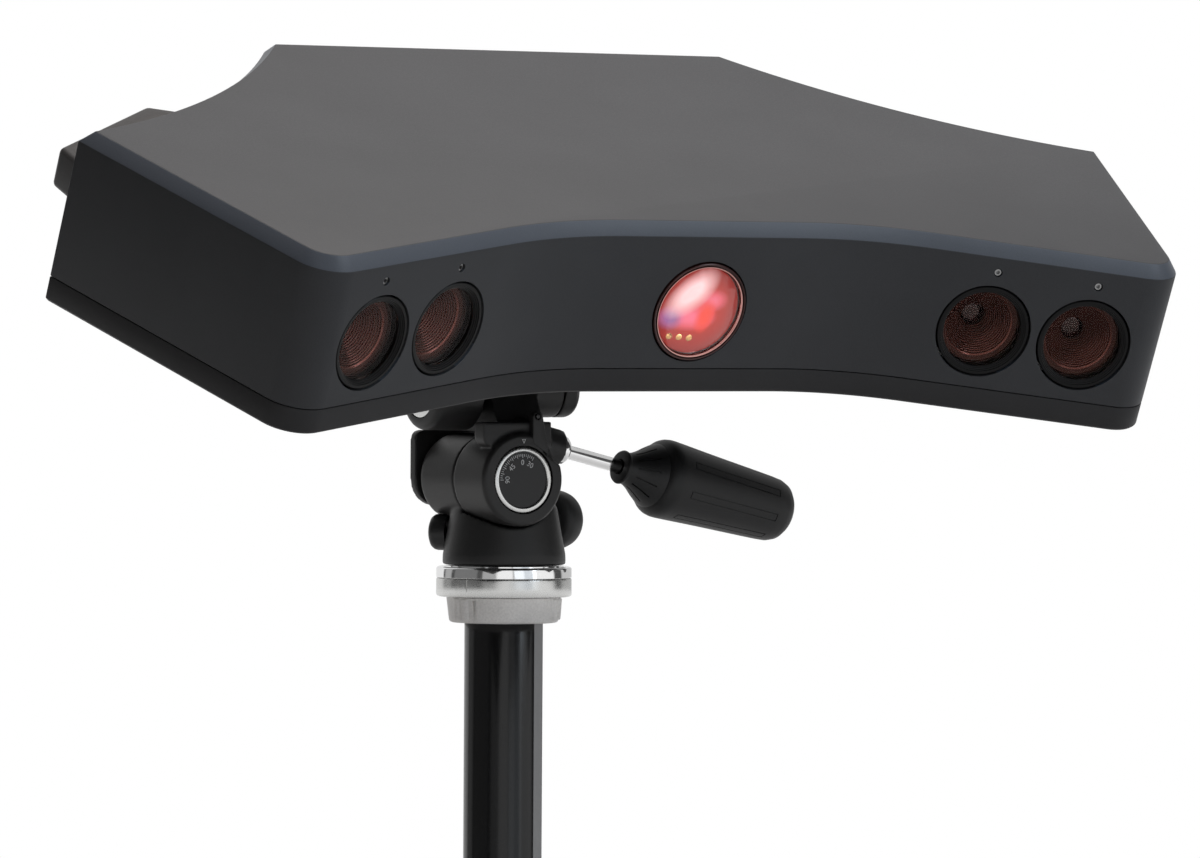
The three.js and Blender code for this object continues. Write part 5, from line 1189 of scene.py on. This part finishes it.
def handle_grip():
    profile = [
        (NECK_BORE, 0), (14.3, 0), (14.9, 0.4), (15.9, 1.2), (16.9, 2.5), (17.45, 3.8), (17.75, 5.6),
        (17.75, 7.6), (17.4, 14), (16.8, 24), (16.3, 33), (15.8, 43), (15.2, 55), (14.7, 64),
        (14.3, 68.4), (13.2, 71.5), (11.2, 73.6), (8.6, 74.6), (5, GRIP_LENGTH), (0, GRIP_LENGTH),
        (0, 25.2), (NECK_BORE, 25.2),
    ]
    grip = turned(profile, 2 * ROUND_STEPS)
    depth, half = GRIP_LINE_DEPTH, GRIP_LINE_HALF
    side = GRIP_LINE_PLACE + half
    grooves = []
    for i in range(GRIP_LINE_PAIRS):
        sides = [
            block(-depth, OVERRUN, at - half, at + half, 0, GRIP_LINE_LENGTH)
            for at in (-GRIP_LINE_PLACE, GRIP_LINE_PLACE)
        ]
        ends = [
            block(-depth, OVERRUN, -side, side, at, at + 2 * half)
            for at in (0, GRIP_LINE_LENGTH - 2 * half)
        ]
        groove = joined(sides[0], sides[1], *ends)
        swung(groove, -GRIP_TAPER, "Y")
        shifted(groove, GRIP_SIDE, z=GRIP_LINE_START)
        grooves.append(swung(groove, TURN * (i + 0.5) / GRIP_LINE_PAIRS))
    carved(grip, *grooves)
    place(shifted(grip, z=GRIP_START), "handle_grip_body", "locking_handle", GRIP_RUBBER,
          ["handle_grip"], HANDLE, sharp=32)


# Front-tilt carrier, in the frame of its own axis

CARRIER_DRUM = 17.5
CARRIER_START = -44
LUG_START = 24.5
DECK_BOTTOM, DECK_TOP = 14.5, 24
WEB_TOP = 22
CAP_RADIUS, CAP_BACK = 12, -42
AXLE_RADIUS, AXLE_END = 5, 33.1
BLOCK_SCREW_X, BLOCK_SCREW_Y, BLOCK_SCREW_Z = 37, 29, 48.9


def tilt_carrier():
    drum = turned([
        (0, 0), (14.4, 0), (16, 0.5), (17.1, 1.6), (CARRIER_DRUM, 3.2), (CARRIER_DRUM, 23.5), (0, 23.5),
    ])
    moved(drum, ALONG_X)
    shifted(drum, CARRIER_START)
    lug = turned([(0, 0), (12, 0), (12, 5.6), (11.4, 7.4), (10, 8.3), (0, 8.3)])
    shifted(moved(lug, ALONG_X), LUG_START)
    deck = shifted(prism(rounded_rectangle(38.4, 21, 5), DECK_BOTTOM, DECK_TOP), -5.6)
    drum_web = block(-41, -20.5, -14.5, 14.5, 0, WEB_TOP)
    lug_web = block(LUG_START, 30.3, -12, 12, 0, WEB_TOP)
    cast(joined(drum, lug, deck, drum_web, lug_web))
    carved(drum, moved(disc(12.3, -46, -41.7, ROUND_STEPS), ALONG_X), moved(disc(5.3, -46, 35), ALONG_X))
    mount(drum, "tilt_casting", CAST_BLACK, ["tilt_carrier"], TILT, sharp=45)


def tilt_axle():
    axle = turned([
        (0, CARRIER_START), (11.2, CARRIER_START), (11.8, -43.8), (CAP_RADIUS, -43.3),
        (CAP_RADIUS, CAP_BACK), (AXLE_RADIUS, CAP_BACK), (AXLE_RADIUS, AXLE_END), (7, AXLE_END),
        (7, 33.8), (6.3, 34.6), (0, 34.6),
    ])
    mount(moved(axle, ALONG_X), "tilt_pin", SATIN, ["tilt_axle"], TILT)


def block_screws():
    places = [(x, y) for y in (BLOCK_SCREW_Y, -BLOCK_SCREW_Y) for x in (BLOCK_SCREW_X, -BLOCK_SCREW_X)]
    for i, (x, y) in enumerate(places):
        screw = socket_screw(radius=4.2, height=4, hex_radius=2.2, hex_depth=2)
        shifted(screw, x, y, BLOCK_SCREW_Z)
        mount(screw, f"block_screw_{i + 1}", STEEL, matrix=TILT)


# Small solids whose machined or moulded edges are eased: the width of the edge, material and slot

MERGE_DISTANCE = FIT / 100
EASED = {
    "mounting_block": (0.6, BLACK_METAL, "black_metal"),
    "quick_release_plate": (0.4, BLACK_METAL, "black_metal"),
    "quick_release_lever": (0.5, BLACK_METAL, "black_metal"),
    "connector_panel": (0.4, BLACK_METAL, "black_metal"),
    "power_inlet": (0.25, BLACK_PLASTIC, "black_plastic"),
    "data_socket": (0.15, STEEL, "steel"),
    "switch_frame": (0.25, BLACK_PLASTIC, "black_plastic"),
    "switch_rocker": (0.3, BLACK_PLASTIC, "black_plastic"),
}


def eased_copies():
    for node, (width, material, slot) in EASED.items():
        source = frame["nodes"][node]
        bm = bmesh.new()
        bm.from_mesh(source.data)
        bm.transform(Matrix.Scale(1 / MM, 4) @ source.matrix_world)
        bmesh.ops.remove_doubles(bm, verts=bm.verts, dist=MERGE_DISTANCE)
        bmesh.ops.dissolve_limit(bm, angle_limit=radians(1), verts=bm.verts, edges=bm.edges)
        copy = eased(object_of(bm), width, angle=30)
        place(copy, f"{node}_eased", source["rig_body"], material, [node])


top_cover()
bottom_tray()
housing_screws()
cameras()
projector()
carry_handles()
column()
column_foot()
column_head()
discs()
pan_body()
pan_knobs()
side_tilt_bracket()
side_tilt_trim()
dial()
handle_rod()
handle_neck()
handle_grip()
tilt_carrier()
tilt_axle()
block_screws()
eased_copies()

# Nodes that keep their solids, satin where no other material is named

KEPT = {
    "main_board": BOARD_GREEN, "power_supply": STEEL, "projector_tube": BLACK_METAL,
    "projector_led_board": GOLD, "fan_frame": BLACK_PLASTIC, "fan_rotor": BLACK_PLASTIC,
    "side_tilt_shaft": STEEL, "tilt_washer": BLACK_PLASTIC, "plate_screw": STEEL, "lever_screw": STEEL,
}
for node, kept in frame["nodes"].items():
    kept.data.materials.clear()
    kept.data.materials.append(KEPT.get(node, SATIN))


# Studio, in metres

BRIGHT, LIGHT, MIDDLE, DIM = [(share, share, share) for share in (1, 0.42, 0.19, 0.08)]
REFLECTED_BANDS = [
    (0.0, MIDDLE), (0.03, MIDDLE), (0.036, DIM), (0.056, DIM), (0.063, LIGHT), (0.124, LIGHT),
    (0.131, BRIGHT), (0.202, BRIGHT), (0.209, LIGHT), (0.257, LIGHT), (0.264, DIM), (0.302, DIM),
    (0.31, BRIGHT), (0.423, BRIGHT), (0.434, DIM), (0.481, DIM),
    (0.49, (0.6, 0.6, 0.6)), (0.61, (0.6, 0.6, 0.6)),
    (0.66, (0.8, 0.8, 0.8)), (0.81, (0.9, 0.9, 0.9)), (0.82, DIM), (0.826, DIM), (0.833, LIGHT),
    (0.877, LIGHT), (0.885, DIM), (0.899, DIM), (0.906, MIDDLE),
]
FLOOR_RADIUS = 3.0
FLOOR_SHADE = (0.62, 0.62, 0.62)
FLOOR_ROUGH = 0.8
FADE_START, FADE_END, FADE_LOW = 0.3, 1.1, 0.35
DIFFUSE_SHARE = 0.1
LAMP_TARGET = Vector((0, -0.05, 0.38))


def ray_kinds(tree, *kinds):
    path = node_in(tree, "LightPath")
    value, *others = [path.outputs[f"Is {kind} Ray"] for kind in kinds]
    for other in others:
        value = worked(tree, "MAXIMUM", value, other)
    return value


def floor():
    bm = bmesh.new()
    bmesh.ops.create_circle(bm, cap_ends=True, segments=ROUND_STEPS, radius=FLOOR_RADIUS)
    ground = object_of(bm)
    ground.name = "floor"
    material, tree, bsdf = shader("floor")
    away = length_of(tree, node_in(tree, "TexCoord").outputs["Object"])
    fade = ranged(tree, away, FADE_LOW, 1, FADE_START, FADE_END)
    seen = ray_kinds(tree, "Camera", "Glossy", "Transmission")
    glow = node_in(tree, "Emission")
    mix = node_in(tree, "MixShader")
    fixed(bsdf, {"Base Color": (*FLOOR_SHADE, 1), "Roughness": FLOOR_ROUGH})
    feed(tree, worked(tree, "MULTIPLY", seen, fade), mix, "Fac")
    feed(tree, bsdf.outputs["BSDF"], mix, 1)
    feed(tree, glow.outputs["Emission"], mix, 2)
    tree.links.new(mix.outputs["Shader"], tree.nodes["Material Output"].inputs["Surface"])
    ground.data.materials.append(material)


def surroundings():
    world = bpy.data.worlds.new("studio")
    bpy.context.scene.world = world
    world.use_nodes = True
    tree = world.node_tree
    background = tree.nodes["Background"]
    coordinates = node_in(tree, "TexCoord")
    around = node_in(tree, "TexGradient")
    around.gradient_type = "RADIAL"
    feed(tree, coordinates.outputs["Generated"], around, "Vector")
    bands = ramp(tree, around.outputs["Fac"], REFLECTED_BANDS)
    seen = ray_kinds(tree, "Camera", "Transmission")
    feed(tree, mixed(tree, seen, bands, BRIGHT), background, "Color")
    plain = ray_kinds(tree, "Camera", "Glossy", "Transmission")
    feed(tree, ranged(tree, plain, DIFFUSE_SHARE, 1.0, 0, 1), background, "Strength")


def lamp(name, at, size, power, color):
    data = bpy.data.lights.new(name, "AREA")
    data.shape = "SQUARE"
    data.size = size
    data.energy = power
    data.color = color
    obj = linked(name, data)
    obj.location = at
    aim = LAMP_TARGET - Vector(at)
    obj.rotation_euler = aim.to_track_quat("-Z", "Y").to_euler()


floor()
surroundings()
lamp("overhead", at=(0.15, -0.05, 1.6), size=1.0, power=16, color=(1, 0.94, 0.9))
lamp("window", at=(1.4, -2.0, 2.2), size=1.2, power=19, color=(0.74, 0.87, 1))
lamp("front", at=(0.3, -2.8, 0.6), size=2.0, power=10, color=(0.88, 0.94, 1))
bpy.context.scene.view_settings.view_transform = "Standard"
